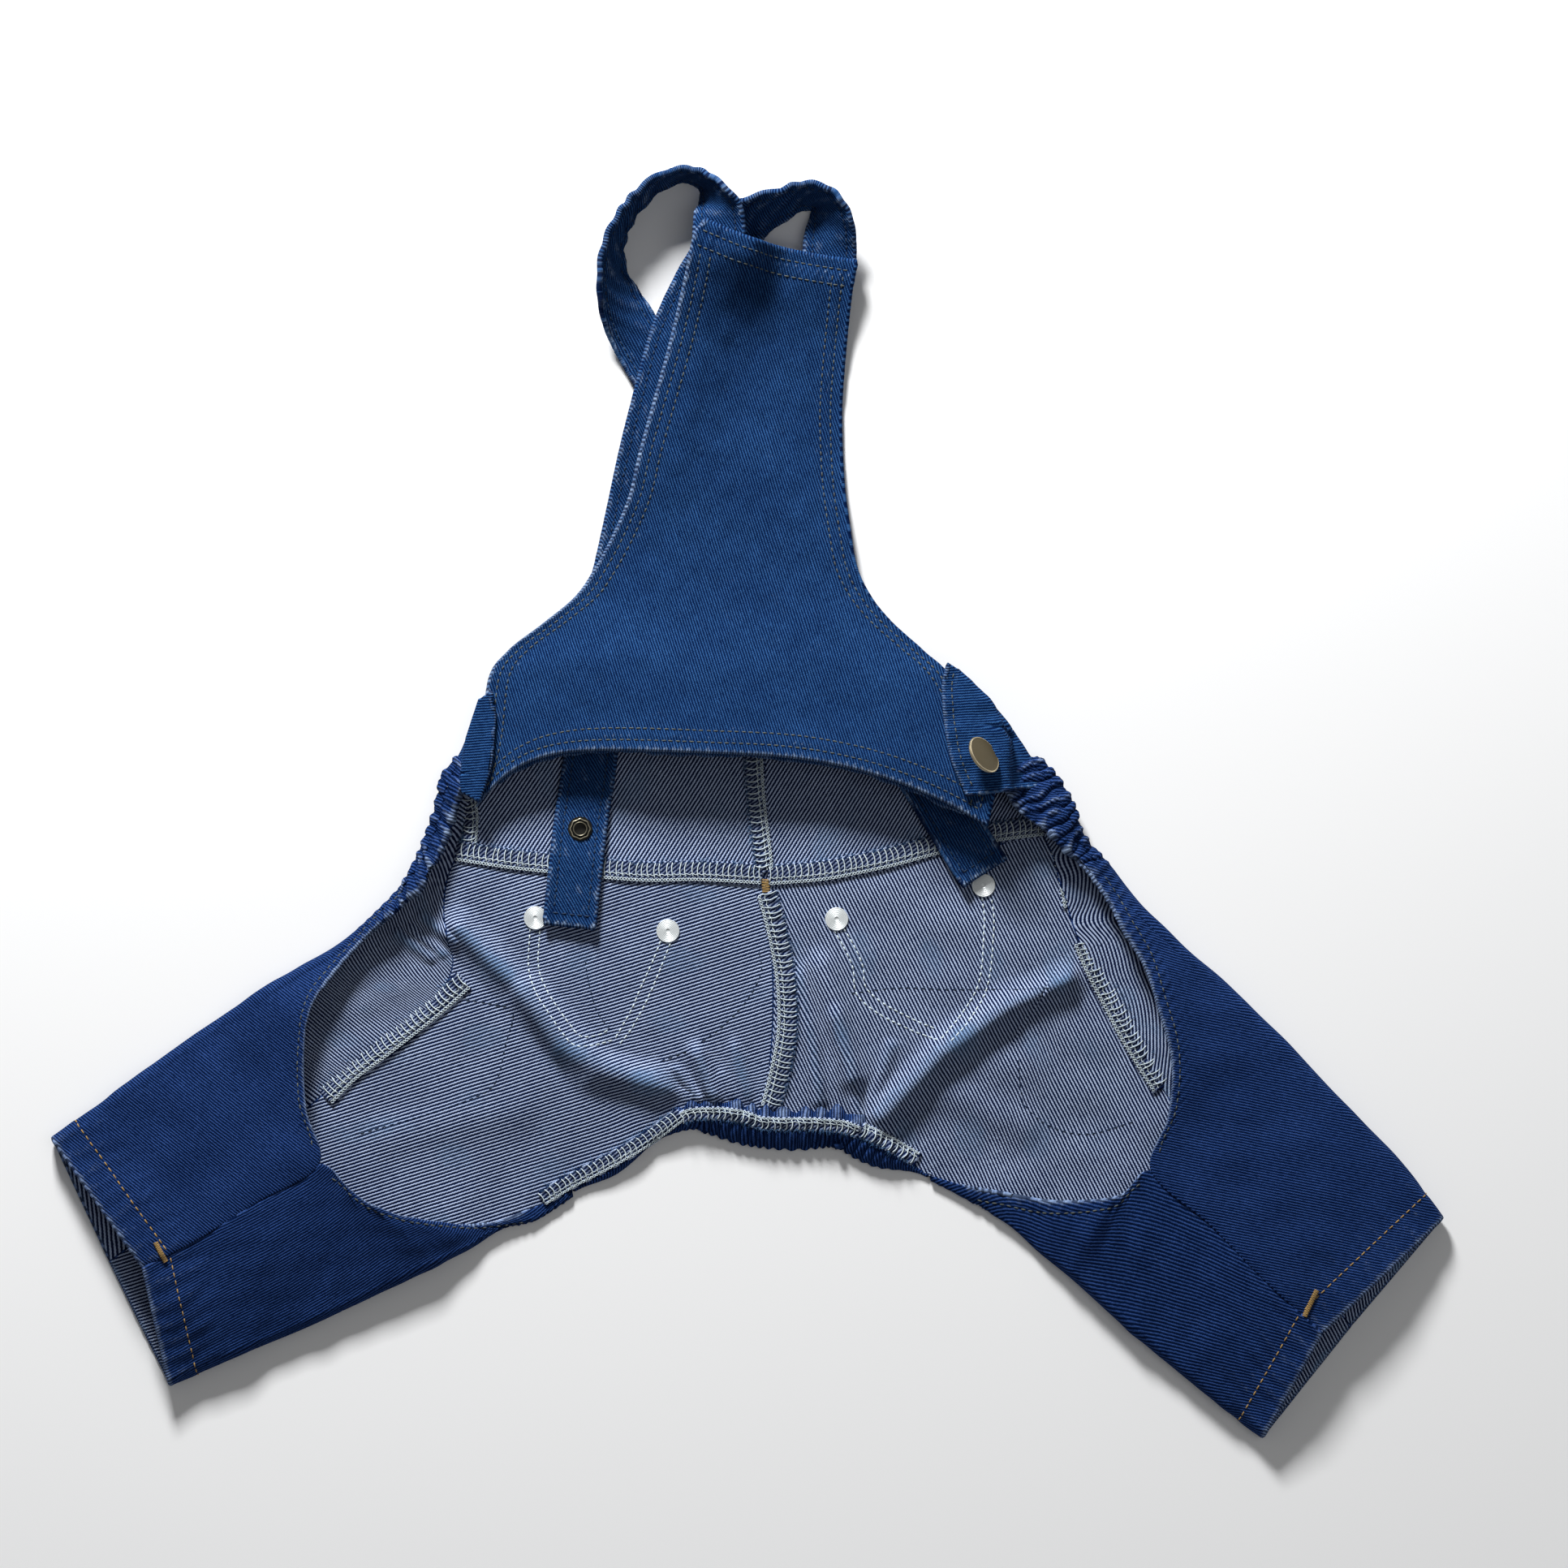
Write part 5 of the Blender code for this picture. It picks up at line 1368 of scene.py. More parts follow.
def make_crotch_casing():
    route, side = casing_route()
    along = lengths(route)
    share = along / along[-1]
    body = (smooth_step((share - 0.22) / 0.20) * smooth_step((1 - share) / 0.20))[:, None]
    ends = smooth_step(np.minimum(share, 1 - share) / 0.12)[:, None]
    drift = waves(np.column_stack([along, np.zeros_like(along)]), 0.02, 5)[:, None]
    puff = np.sin(2 * math.pi * along[:, None] / 0.0062 + drift * 1.6)
    pleat = np.sin(2 * math.pi * along[:, None] / 0.0031 + drift * 2.2)
    across = np.linspace(0, 1, CASING_COLUMNS)[None]
    lip = smooth_step((across - 0.55) / 0.2)
    low_edge = -0.0003 - CASING_WIDTH * (0.19 * ends + 0.60 * body) - 0.0003 * pleat * body
    high_edge = 0.0002 + 0.0005 * ends + 0.0030 * body + 0.0008 * body * puff
    offset = low_edge + (high_edge - low_edge) * across
    plan = route[:, None] + side[:, None] * offset[:, :, None]
    dome = np.sin(math.pi * np.clip(across, 0.02, 0.98)) ** 0.6
    height = 0.0007 + dome * (0.0002 + 0.0014 * ends + 0.0020 * body) + lip * body * 0.0012
    height = height + body * (lip * puff * 0.0008 + (1 - lip) * pleat * 0.00045)
    height -= 0.0008 * np.exp(-((across - 0.56) / 0.05) ** 2)
    panel = Panel(np.dstack([plan, height]), 88, down_at_end=False)
    panel.up[:] = 0.0005
    panel.down = height - 0.0002
    # The lip's puffs are rubbed pale; the part below the lip and its pleats are darkened as painted shade.
    panel.wear = body * (lip * (0.22 + 0.30 * puff) + (1 - lip) * (0.22 * pleat - 0.25))
    panel.edge[:] = 0.25
    return panel


LIP_WIDTH = 0.0017


def make_lip():
    """The under layer of the bib's hem, which shows as a second lip just below the first."""
    edge = bib.grid[0]
    outward = unit((bib.grid[0] - bib.grid[1]) * (1, 1, 0))
    share = np.linspace(-1.0, 1.0, 7)[None, :, None]
    wave = (1 + 0.25 * waves(bib.flat[0], 0.012, 90))[:, None, None]
    grid = edge[:, None] + outward[:, None] * share * LIP_WIDTH * wave
    grid[:, :, 2] -= 0.0022 + 0.0003 * np.abs(share[:, :, 0])
    lip = Panel(grid[6:-6], BIB_TWILL, down_at_end=False)
    lip.up[:] = 0.0006 * (1 - 0.6 * np.linspace(-1, 1, 7) ** 4)
    lip.wear += np.clip(np.linspace(-1, 1, 7) - 0.3, 0, 1)[None] * 0.5
    lip.edge[:] = 0.4
    return lip


bib_lip = add_panel("bib_hem_lip", make_lip(), [OUTER, OUTER])
crotch_panel = make_crotch_casing()
crotch = add_panel("crotch_gathers", crotch_panel, [LEG, LEG])
print("crotch casing length, mm:", (crotch_panel.along.max() * 1000).round())


# %% Make the panels solid
def finish_panels():
    made = {}
    for side in SIDES:
        made["front_cloth_" + side.name] = (fronts[side.name], [LEG, INNER])
        made["seat_cloth_" + side.name] = (seats[side.name], [LEG, INNER])
        made["yoke_cloth_" + side.name] = (yokes[side.name], [LEG, INNER])
        made["tab_cloth_" + side.name] = (tabs[side.name], [OUTER, OUTER])
        made["strap_cloth_" + side.name] = (straps[side.name], [OUTER, OUTER])
    made["bib_cloth"] = (bib, [OUTER, OUTER])
    return {name: add_panel(name, panel, finish) for name, (panel, finish) in made.items()}


cloth = finish_panels()
print("cloth triangles:", sum(len(obj.data.loops) - 2 * len(obj.data.polygons) for obj in cloth.values()))

# %% [markdown]
# Thread is modelled as real stitches. Each one is a short, slightly bowed rod whose ends dip into
# the cloth. All the stitches of one thread are one joined mesh. Stitch lines on hems follow their
# panel at a fixed distance from its edge. Lines that were read off the photograph are laid on the
# finished cloth with rays from above.

# %% Stitches
ROD_SIDES = 5
STITCH_RADIUS = 0.00026
STITCH_SHARE = 0.74
ROD_STEPS = np.array([0.0, 0.08, 0.35, 0.65, 0.92, 1.0])
ROD_SWELL = np.array([0.30, 0.85, 1.0, 1.0, 0.85, 0.30])
ROD_BOW = np.array([-1.5, -0.5, 0.35, 0.35, -0.5, -1.5])


def sweep(centres, sides, ups, radii, round_sides):
    """Closed rods: arrays of rods by rings, each with its own frame and radius."""
    rods, rings = centres.shape[:2]
    angle = np.linspace(0, 2 * math.pi, round_sides, endpoint=False)
    points = (centres[:, :, None] + sides[:, :, None] * (radii[..., None] * np.cos(angle))[..., None]
              + ups[:, :, None] * (radii[..., None] * np.sin(angle))[..., None])
    index = np.arange(rods * rings * round_sides).reshape(rods, rings, round_sides)
    around = np.roll(index, -1, axis=2)
    quads = np.stack([index[:, :-1], index[:, 1:], around[:, 1:], around[:, :-1]], axis=-1).reshape(-1, 4)
    faces = quads.tolist() + index[:, 0].tolist() + index[:, -1, ::-1].tolist()
    return points.reshape(-1, 3), faces


def frames(points, normals):
    """Sideways and upward unit vectors along a line."""
    ahead = unit(np.gradient(points, axis=0))
    side = unit(np.cross(ahead, normals))
    return side, unit(np.cross(side, ahead))


def stitches(points, normals, pitch, radius=STITCH_RADIUS, seed=0):
    """Rods along a line on the cloth: points and faces."""
    along = lengths(points)
    count = max(int(along[-1] / pitch), 1)
    chance = np.random.default_rng(seed)
    start = (np.arange(count) + chance.uniform(-0.06, 0.06, count)) * along[-1] / count
    reach = along[-1] / count * STITCH_SHARE * chance.uniform(0.92, 1.05, count)
    where = start[:, None] + reach[:, None] * ROD_STEPS[None]
    side, up = frames(points, normals)

    def at(values):
        return np.stack([np.interp(where, along, values[:, k]) for k in range(3)], axis=-1)

    up_here = unit(at(up))
    sway = chance.uniform(-0.4, 0.4, count)[:, None, None] * radius * (ROD_STEPS - 0.5)[None, :, None]
    centres = at(points) + up_here * (ROD_BOW * radius)[None, :, None] + unit(at(side)) * sway
    radii = np.tile(ROD_SWELL * radius, (count, 1))
    return sweep(centres, unit(at(side)), up_here, radii, ROD_SIDES)


def panel_line(panel, distance, axis, first=0, last=None, outer=True):
    """The line on a panel at a distance from an edge. axis 1 walks the rows, axis 0 the columns."""
    surface = panel.surface(outer)
    normal = panel.normal if outer else -panel.normal
    field, wanted = distance
    if axis == 0:
        surface, normal, field = surface.transpose(1, 0, 2), normal.transpose(1, 0, 2), field.T
    points, normals = [], []
    for row in range(len(field))[first:last]:
        order = np.argsort(field[row])
        column = float(np.interp(wanted, field[row][order], order.astype(float)))
        low = min(int(column), field.shape[1] - 2)
        share = column - low
        points.append(surface[row, low] * (1 - share) + surface[row, low + 1] * share)
        normals.append(normal[row, low])
    return np.array(points), np.array(normals)


threads = {"tan": [], "gold": [], "pale": [], "dark": []}


def sew_panel(kind, panel, distance, axis, pitch, first=0, last=None, outer=True, seed=0):
    points, normals = panel_line(panel, distance, axis, first, last, outer)
    threads[kind].append(stitches(points, normals, pitch, seed=seed))


BIB_PITCH = 0.0024
for seed, line in enumerate(BIB_SIDE_LINES):
    sew_panel("tan", bib, (bib.to_near(), line), 1, BIB_PITCH, 2, -6, seed=seed)
    sew_panel("tan", bib, (bib.to_far(), line), 1, BIB_PITCH, 2, -6, seed=seed + 5)
for seed, line in enumerate(BIB_HEM_LINES):
    sew_panel("tan", bib, (bib.to_low(), line), 0, BIB_PITCH, 2, -2, seed=seed + 10)
for seed, line in enumerate(BIB_TOP_LINES):
    sew_panel("tan", bib, (bib.to_high(), line), 0, BIB_PITCH, 3, -3, seed=seed + 15)
for strap in straps.values():
    for outer in (True, False):
        for distance in (strap.to_near(), strap.to_far()):
            sew_panel("dark", strap, (distance, STRAP_LINE), 1, BIB_PITCH, 2, -3, outer)
        sew_panel("dark", strap, (strap.to_high(), STRAP_END), 0, BIB_PITCH, 2, -2, outer)
for tab in tabs.values():
    sew_panel("tan", tab, (tab.to_near(), TAB_LINE), 1, BIB_PITCH, 3, -3)
for side in SIDES:
    front, seat = fronts[side.name], seats[side.name]
    for panel in (front, seat):
        sew_panel("gold", panel, (panel.to_low(), LEG_STITCH), 0, 0.0027, 1, -1)
    sew_panel("tan", front, (front.to_near(), RIM_STITCH), 1, 0.0026, rim_row + 3, 10 * LEG_ROWS)
    sew_panel("tan", seat, (seat.to_near(), RIM_STITCH), 1, 0.0026, rim_row + 3, int(6.8 * LEG_ROWS))
print("stitch lines:", {kind: len(made) for kind, made in threads.items()})

# %% [markdown]
# The pockets and other trims are sewn on the outer side, so their stitches come through to the
# inner side of the seat. The lines are routes in the photograph's pixels.

# %% Stitches through the seat
cloth_now = [obj for name, obj in cloth.items() if name.startswith(("seat", "yoke"))]
seat_top = Felt(cloth_now)

POCKET_LINES = [
    [(653, 1143), (651, 1191), (660, 1222), (677, 1249), (692, 1271), (709, 1288), (735, 1287), (757, 1281)],
    [(665, 1146), (663, 1189), (672, 1217), (688, 1243), (702, 1262), (716, 1277), (738, 1275), (751, 1268)],
    [(814, 1159), (806, 1180), (798, 1198), (788, 1220), (779, 1242), (768, 1262), (757, 1281)],
    [(826, 1162), (817, 1185), (809, 1205), (799, 1228), (788, 1250), (775, 1272), (762, 1288)],
    [(1027, 1145), (1040, 1168), (1051, 1193), (1055, 1224), (1078, 1246), (1107, 1262), (1132, 1273), (1158, 1282)],
    [(1039, 1143), (1052, 1165), (1063, 1190), (1067, 1217), (1088, 1236), (1113, 1250), (1136, 1261), (1154, 1268)],
    [(1210, 1105), (1213, 1130), (1212, 1155), (1210, 1190), (1203, 1220), (1183, 1252), (1158, 1282)],
    [(1222, 1108), (1225, 1132), (1224, 1157), (1221, 1193), (1213, 1226), (1192, 1260), (1170, 1284)],
]
SHADOW_LINES = [
    [(721, 1182), (724, 1205), (735, 1245), (753, 1271)],
    [(935, 1172), (938, 1198), (922, 1230), (900, 1255), (874, 1277), (845, 1295), (811, 1309)],
    [(1048, 1224), (1085, 1219), (1120, 1217), (1165, 1219), (1210, 1219), (1255, 1219), (1296, 1217)],
    [(1255, 1306), (1258, 1344), (1265, 1365), (1296, 1389), (1341, 1398), (1399, 1382)],
    [(572, 1232), (610, 1238), (632, 1246), (622, 1290), (612, 1330), (590, 1350), (520, 1375), (440, 1398)],
]


def on_cloth(felt, route, count, lift=0.0):
    """A route in photograph pixels, laid on the felt cloth: points and normals."""
    plan = resample(smooth_curve(photo(route), 6), count)
    heights = np.array([felt.top(x, y) or 0.0 for x, y in plan])
    heights = np.convolve(np.pad(heights, 2, mode="edge"), np.full(5, 0.2), mode="valid") + lift
    points = np.column_stack([plan, heights])
    ahead = unit(np.gradient(points, axis=0))
    across = unit(np.cross(ahead, (0.0, 0.0, 1.0)))
    return points, unit(np.cross(across, ahead))


for seed, route in enumerate(POCKET_LINES):
    threads["pale"].append(stitches(*on_cloth(seat_top, route, 60), 0.0023, 0.00025, seed))
for seed, route in enumerate(SHADOW_LINES):
    threads["dark"].append(stitches(*on_cloth(seat_top, route, 60), 0.0026, 0.00020, seed))

# %% [markdown]
# An overlocked seam is a flattened ridge of both cut edges. Needle thread runs along it in two
# chains, looper thread crosses it in rungs, and blue fibres stand out where the knife cut the
# cloth. The ridge is a narrow panel, the threads are thin rods and the fibres thinner ones.

# %% Overlocked seams
Overlock = namedtuple("Overlock", "name cut_side route width")

OVERLOCKS = [
    Overlock("yoke_left", 1, [(938, 1078), (860, 1074), (800, 1075), (740, 1071), (673, 1064), (620, 1058), (562, 1049)], 0.0068),
    Overlock("yoke_right", -1, [(948, 1079), (1010, 1074), (1050, 1067), (1100, 1056), (1160, 1040), (1225, 1026), (1285, 1018)], 0.0068),
    Overlock("centre_upper", 1, [(929, 930), (931, 970), (935, 1010), (940, 1050), (942, 1074)], 0.0062),
    Overlock("centre_lower", -1, [(945, 1101), (953, 1130), (960, 1160), (967, 1200), (970, 1240), (969, 1275), (963, 1310), (956, 1340), (949, 1366)], 0.0070),
    Overlock("side_left", 1, [(571, 1209), (540, 1237), (505, 1265), (470, 1292), (430, 1322), (400, 1352)], 0.0072),
    Overlock("side_right", -1, [(1335, 1160), (1350, 1195), (1371, 1235), (1392, 1275), (1412, 1308), (1432, 1340)], 0.0072),
    Overlock("waist_left", 1, [(578, 985), (580, 1010), (578, 1040)], 0.0052),
    Overlock("waist_right", -1, [(1290, 1012), (1302, 1045), (1312, 1080), (1320, 1118)], 0.0052),
    Overlock("edge_left", -1, [(668, 1478), (700, 1458), (735, 1440), (775, 1418), (810, 1395), (838, 1374)], 0.0050),
    Overlock("edge_crotch", 1, [(840, 1378), (853, 1373), (885, 1372), (916, 1376), (935, 1383), (962, 1385), (1000, 1385), (1038, 1388), (1058, 1395)], 0.0042),
    Overlock("edge_right", 1, [(1062, 1392), (1085, 1403), (1105, 1414), (1130, 1429)], 0.0050),
]
OVERLOCK_THICKNESS = 0.0009
RUNG_PITCH = 0.0021
FIBRE_SPACING = 0.00026


def blend_line(values, along, where):
    return np.stack([np.interp(where, along, values[:, k]) for k in range(values.shape[1])], axis=-1)


def make_overlock(seam, felt, seed):
    """The ridge of one seam, and the rods of its threads and fibres."""
    plan = resample(smooth_curve(photo(seam.route), 8), 160)
    ahead = unit(np.gradient(plan, axis=0))
    side = np.stack([ahead[:, 1], -ahead[:, 0]], axis=1) * seam.cut_side
    share = np.linspace(-0.5, 0.5, 11)
    grid = plan[:, None] + side[:, None] * share[None, :, None] * seam.width
    height = np.array([[felt.top(x, y) or 0.0 for x, y in row] for row in grid])
    height = blur(height, 12) + OVERLOCK_THICKNESS * 0.55
    along = lengths(plan)
    height += 0.00012 * np.sin(2 * math.pi * along / RUNG_PITCH)[:, None]
    panel = Panel(np.dstack([grid, height]), 40, down_at_end=False)
    panel.up[:] = OVERLOCK_THICKNESS / 2 * (1 - (2 * share[None]) ** 4 * 0.5)
    panel.down[:] = OVERLOCK_THICKNESS / 2
    panel.wear += 0.2 * np.sin(2 * math.pi * along / RUNG_PITCH)[:, None] - 0.75
    panel.edge[:] = 0.1
    surface = panel.surface()
    chance = np.random.default_rng(seed)

    def at(where, across):
        """Points on the ridge: along it in metres, across it from 0 at the needle side to 1."""
        column = np.clip(across, 0, 1) * 10
        low = np.minimum(column.astype(int), 9)
        mix = (column - low)[..., None]
        lower = np.stack([np.interp(where, along, surface[:, 0, k]) for k in range(3)], axis=-1) * 0
        for k in range(10):
            here = (low == k)[..., None]
            a, b = blend_line(surface[:, k], along, where), blend_line(surface[:, k + 1], along, where)
            lower = np.where(here, a * (1 - mix) + b * mix, lower)
        return lower

    count = int(along[-1] / RUNG_PITCH)
    start = (np.arange(count) + chance.uniform(-0.12, 0.12, count)) * along[-1] / count
    steps = np.linspace(0, 1, 9)
    lean = chance.uniform(-0.25, 0.25, count)[:, None]
    where = start[:, None] + RUNG_PITCH * (0.25 * np.sin(math.pi * steps)[None] + lean * steps[None])
    across = 0.20 + 0.82 * steps[None] + 0 * where
    rungs = at(where, across)
    rungs[:, :, 2] += 0.00018 + 0.0002 * np.sin(math.pi * steps)[None] - 0.0007 * (steps[None] > 0.95)
    rods = [rod_lines(rungs, 0.00019)]
    walk = np.arange(0, along[-1], RUNG_PITCH / 6)
    for centre, sign, swing in ((0.10, 1, 0.075), (0.10, -1, 0.075), (0.36, 1, 0.03)):
        wave = centre + sign * swing * np.sin(2 * math.pi * walk / RUNG_PITCH)
        chain = at(walk, wave)
        chain[:, 2] += 0.00017 + 0.0001 * np.cos(2 * math.pi * walk / RUNG_PITCH) * sign
        rods.append(rod_lines(chain[None], 0.00014))
    count = int(along[-1] / FIBRE_SPACING)
    root = at(chance.uniform(0, along[-1], count), chance.uniform(0.86, 1.0, count))
    outward = blend_line(np.column_stack([side, np.zeros(len(side))]), along, chance.uniform(0, along[-1], count))
    heading = unit(outward + chance.normal(0, 0.55, (count, 3)) + (0, 0, 0.35))
    reach = chance.uniform(0.0006, 0.0019, count)[:, None]
    bend = chance.normal(0, 0.0004, (count, 3))
    fibres = np.stack([root, root + heading * reach * 0.5 + bend * 0.4, root + heading * reach + bend], axis=1)
    fibres[:, :, 2] = np.maximum(fibres[:, :, 2], 0.0003)
    return panel, rods, rod_lines(fibres, 0.000055, 3)


def rod_lines(lines, radius, round_sides=5):
    """Rods along lines: an array of rods by points, of one radius."""
    ahead = unit(np.gradient(lines, axis=1))
    up = np.zeros_like(lines) + (0.0, 0.0, 1.0)
    side = unit(np.cross(ahead, up) + (1e-6, 0, 0))
    return sweep(lines, side, np.cross(side, ahead), np.full(lines.shape[:2], radius), round_sides)


def join(parts):
    """Points and faces of several parts as one."""
    points, faces, start = [], [], 0
    for part_points, part_faces in parts:
        points.append(part_points)
        faces += [[start + k for k in face] for face in part_faces]
        start += len(part_points)
    return np.vstack(points), faces


def add_rods(name, parts, finish):
    points, faces = join(parts)
    obj = mesh_object(name, points + (ORIGIN[0], ORIGIN[1], 0.0), faces, [finish])
    return obj


overlock_rods, fibres, ridges = [], [], {}
felt_cloth = Felt(cloth_now + [cloth["front_cloth_left"], cloth["front_cloth_right"], crotch])
for seed, seam in enumerate(OVERLOCKS):
    felt = felt_cloth if seam.name.startswith("edge") else seat_top
    panel, rods, hairs = make_overlock(seam, felt, seed)
    ridges["overlock_ridge_" + seam.name] = add_panel("overlock_ridge_" + seam.name, panel, [INNER, INNER])
    overlock_rods += rods
    fibres.append(hairs)
thread_objects = {
    "overlock_threads": add_rods("overlock_threads", overlock_rods, PALE_THREAD),
    "cut_edge_fibres": add_rods("cut_edge_fibres", fibres, BLUE_FIBRE),
}

# %% Bar tacks
BarTack = namedtuple("BarTack", "kind start end width count")

BAR_TACKS = [
    BarTack("gold", (943, 1084), (944, 1099), 0.0026, 9),
    BarTack("gold", (1621, 1589), (1606, 1620), 0.0016, 22),
    BarTack("gold", (194, 1530), (206, 1553), 0.0016, 18),
]
everything = Felt([*cloth.values(), crotch])


def bar_tack(tack):
    """Close stitches side by side across a short line, as a machine locks the end of a seam."""
    start, end = np.array(tack.start, float), np.array(tack.end, float)
    points, normals = on_cloth(everything, [start, (start + end) / 2, end], tack.count, 0.0006)
    side, up = frames(points, normals)
    steps = np.linspace(-0.5, 0.5, 6)
    lean = np.where(np.arange(tack.count) % 2, 0.3, -0.3)[:, None, None] * np.gradient(points, axis=0)[:, None]
    rods = points[:, None] + side[:, None] * (steps * tack.width)[None, :, None] + lean * steps[None, :, None]
    rods = rods + up[:, None] * (0.0002 - 0.0022 * steps ** 4 * 4)[None, :, None] * 0.5
    return rod_lines(rods, 0.00021)


for tack in BAR_TACKS:
    threads[tack.kind].append(bar_tack(tack))
KIND_FINISH = {"tan": TAN_THREAD, "gold": GOLD_THREAD, "pale": PALE_THREAD, "dark": DARK_THREAD}
for kind, parts in threads.items():
    thread_objects["stitches_" + kind] = add_rods("stitches_" + kind, parts, KIND_FINISH[kind])
print("thread faces:", {name: len(obj.data.polygons) for name, obj in thread_objects.items()})

# %% [markdown]
# The metal fittings are turned or pressed from sheet. Each starts as a filled circle and is drawn out
# ring by ring along the profile that its die has. The rivets' backs carry the fine rings of the
# tool that set them, so one is modelled and copied.

# %% Turned pieces
def metal(name, colour, roughness, metallic):
    made = plain_material(name, colour, roughness)
    made.node_tree.nodes["Principled BSDF"].inputs["Metallic"].default_value = metallic
    return made


ALUMINIUM = metal("aluminium_bright", (0.78, 0.82, 0.83), 0.50, 0.55)
BRASS_FACE = metal("brass_dull", (0.070, 0.053, 0.022), 0.55, 0.15)
BRASS_RIM = metal("brass_bright", (0.62, 0.52, 0.34), 0.30, 0.9)
DARK_STEEL = metal("steel_dark", (0.016, 0.015, 0.012), 0.45, 0.6)
OLIVE_EDGE = metal("brass_olive", (0.36, 0.33, 0.24), 0.35, 0.8)


def turned_piece(name, profile, sides, finish):
    """A filled circle drawn out ring by ring along a profile of (radius, height)."""
    bpy.ops.object.select_all(action="DESELECT")
    bpy.ops.mesh.primitive_circle_add(vertices=sides, radius=profile[0][0], fill_type="NGON")
    obj = bpy.context.object
    obj.name = obj.data.name = name
    bpy.ops.object.mode_set(mode="EDIT")
    bpy.ops.mesh.select_all(action="SELECT")
    bpy.ops.transform.translate(value=(0, 0, profile[0][1]))
    for (radius, height), (next_radius, next_height) in zip(profile, profile[1:]):
        bpy.ops.mesh.extrude_region_move(TRANSFORM_OT_translate={"value": (0, 0, next_height - height)})
        bpy.ops.transform.resize(value=(next_radius / radius, next_radius / radius, 1.0))
    bpy.ops.mesh.select_all(action="SELECT")
    bpy.ops.mesh.normals_make_consistent(inside=False)
    bpy.ops.object.mode_set(mode="OBJECT")
    obj.data.materials.append(finish)
    bpy.ops.object.shade_smooth_by_angle(angle=math.radians(30))
    return obj


def second_finish(obj, finish, wanted):
    """Gives a second material to the faces whose centre (radius, height) is wanted."""
    obj.data.materials.append(finish)
    for face in obj.data.polygons:
        radius = math.hypot(face.center.x, face.center.y)
        face.material_index = int(wanted(radius, face.center.z))


def set_piece(obj, at, normal=(0, 0, 1)):
    """Turns a piece to face along normal, moves it there and applies both."""
    bpy.ops.object.select_all(action="DESELECT")
    obj.select_set(True)
    bpy.context.view_layer.objects.active = obj
    obj.rotation_euler = Vector(normal).to_track_quat("Z", "Y").to_euler()
    obj.location = at
    bpy.ops.object.transform_apply(location=True, rotation=True, scale=True)


def middle_of(node):
    low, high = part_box(node)
    return (Vector(low) + Vector(high)) / 2


# %% Rivets
RIVET_RADIUS = (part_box("rivet_1")[1].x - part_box("rivet_1")[0].x) / 2
RIVET_RINGS = 6


def rivet_profile():
    """Shares of the radius: a rolled rim, then shallow rings, and a dimple in the middle."""
    profile = [(0.88, 0.0), (0.98, 0.04), (1.0, 0.09), (0.99, 0.15), (0.95, 0.19), (0.91, 0.19), (0.88, 0.165)]
    for ring in range(RIVET_RINGS):
        share = 0.86 - 0.115 * ring
        profile += [(share - 0.02, 0.185), (share - 0.06, 0.190), (share - 0.10, 0.168)]
    return [(r * RIVET_RADIUS, h * RIVET_RADIUS) for r, h in profile + [(0.12, 0.12), (0.04, 0.11)]]


first_rivet = turned_piece("rivet_back_1", rivet_profile(), 64, ALUMINIUM)
metal_pieces = {"rivet_1": first_rivet}
for number in (2, 3, 4):
    rivet = first_rivet.copy()
    rivet.data = first_rivet.data.copy()
    rivet.name = rivet.data.name = "rivet_back_%d" % number
    bpy.context.scene.collection.objects.link(rivet)
    metal_pieces["rivet_%d" % number] = rivet
for node, rivet in metal_pieces.items():
    centre = middle_of(node)
    level = seat_top.highest(centre.x - ORIGIN[0], centre.y - ORIGIN[1], RIVET_RADIUS * 0.6)
    set_piece(rivet, (centre.x, centre.y, level - 0.0002))
print("rivet radius, mm:", round(RIVET_RADIUS * 1000, 2), "faces each:", len(first_rivet.data.polygons))

# %% [markdown]
# The snap cap is a thin brass shell with a rolled rim that catches the light, and a dull face. It
# faces outward, because the tab runs over the outer fold there. The stud on the strap is the other
# half of such a snap: a dark socket with a scalloped spring ring and a paler inner ring.

# %% Snap cap and ring stud
SNAP_RADIUS = 0.0069
SNAP_SINK = 0.0020
SNAP_TILT, SNAP_HEADING = math.radians(56), math.radians(34)
SNAP_PROFILE = [(0.26, -0.20), (0.26, 0.0), (0.84, 0.01), (0.94, 0.04), (0.99, 0.10), (1.0, 0.155), (0.985, 0.20),
                (0.955, 0.225), (0.925, 0.225), (0.90, 0.212), (0.88, 0.212), (0.70, 0.232), (0.45, 0.250),
                (0.20, 0.258), (0.06, 0.260)]
cap = turned_piece("snap_cap_face", [(r * SNAP_RADIUS, h * SNAP_RADIUS) for r, h in SNAP_PROFILE], 96, BRASS_RIM)
second_finish(cap, BRASS_FACE, lambda radius, height: height > 0.2 * SNAP_RADIUS and radius < 0.92 * SNAP_RADIUS)
outward = (math.cos(SNAP_HEADING) * math.sin(SNAP_TILT), math.sin(SNAP_HEADING) * math.sin(SNAP_TILT),
           math.cos(SNAP_TILT))
set_piece(cap, middle_of("snap_cap_right") - Vector(outward) * SNAP_SINK, outward)
metal_pieces["snap_cap_right"] = cap

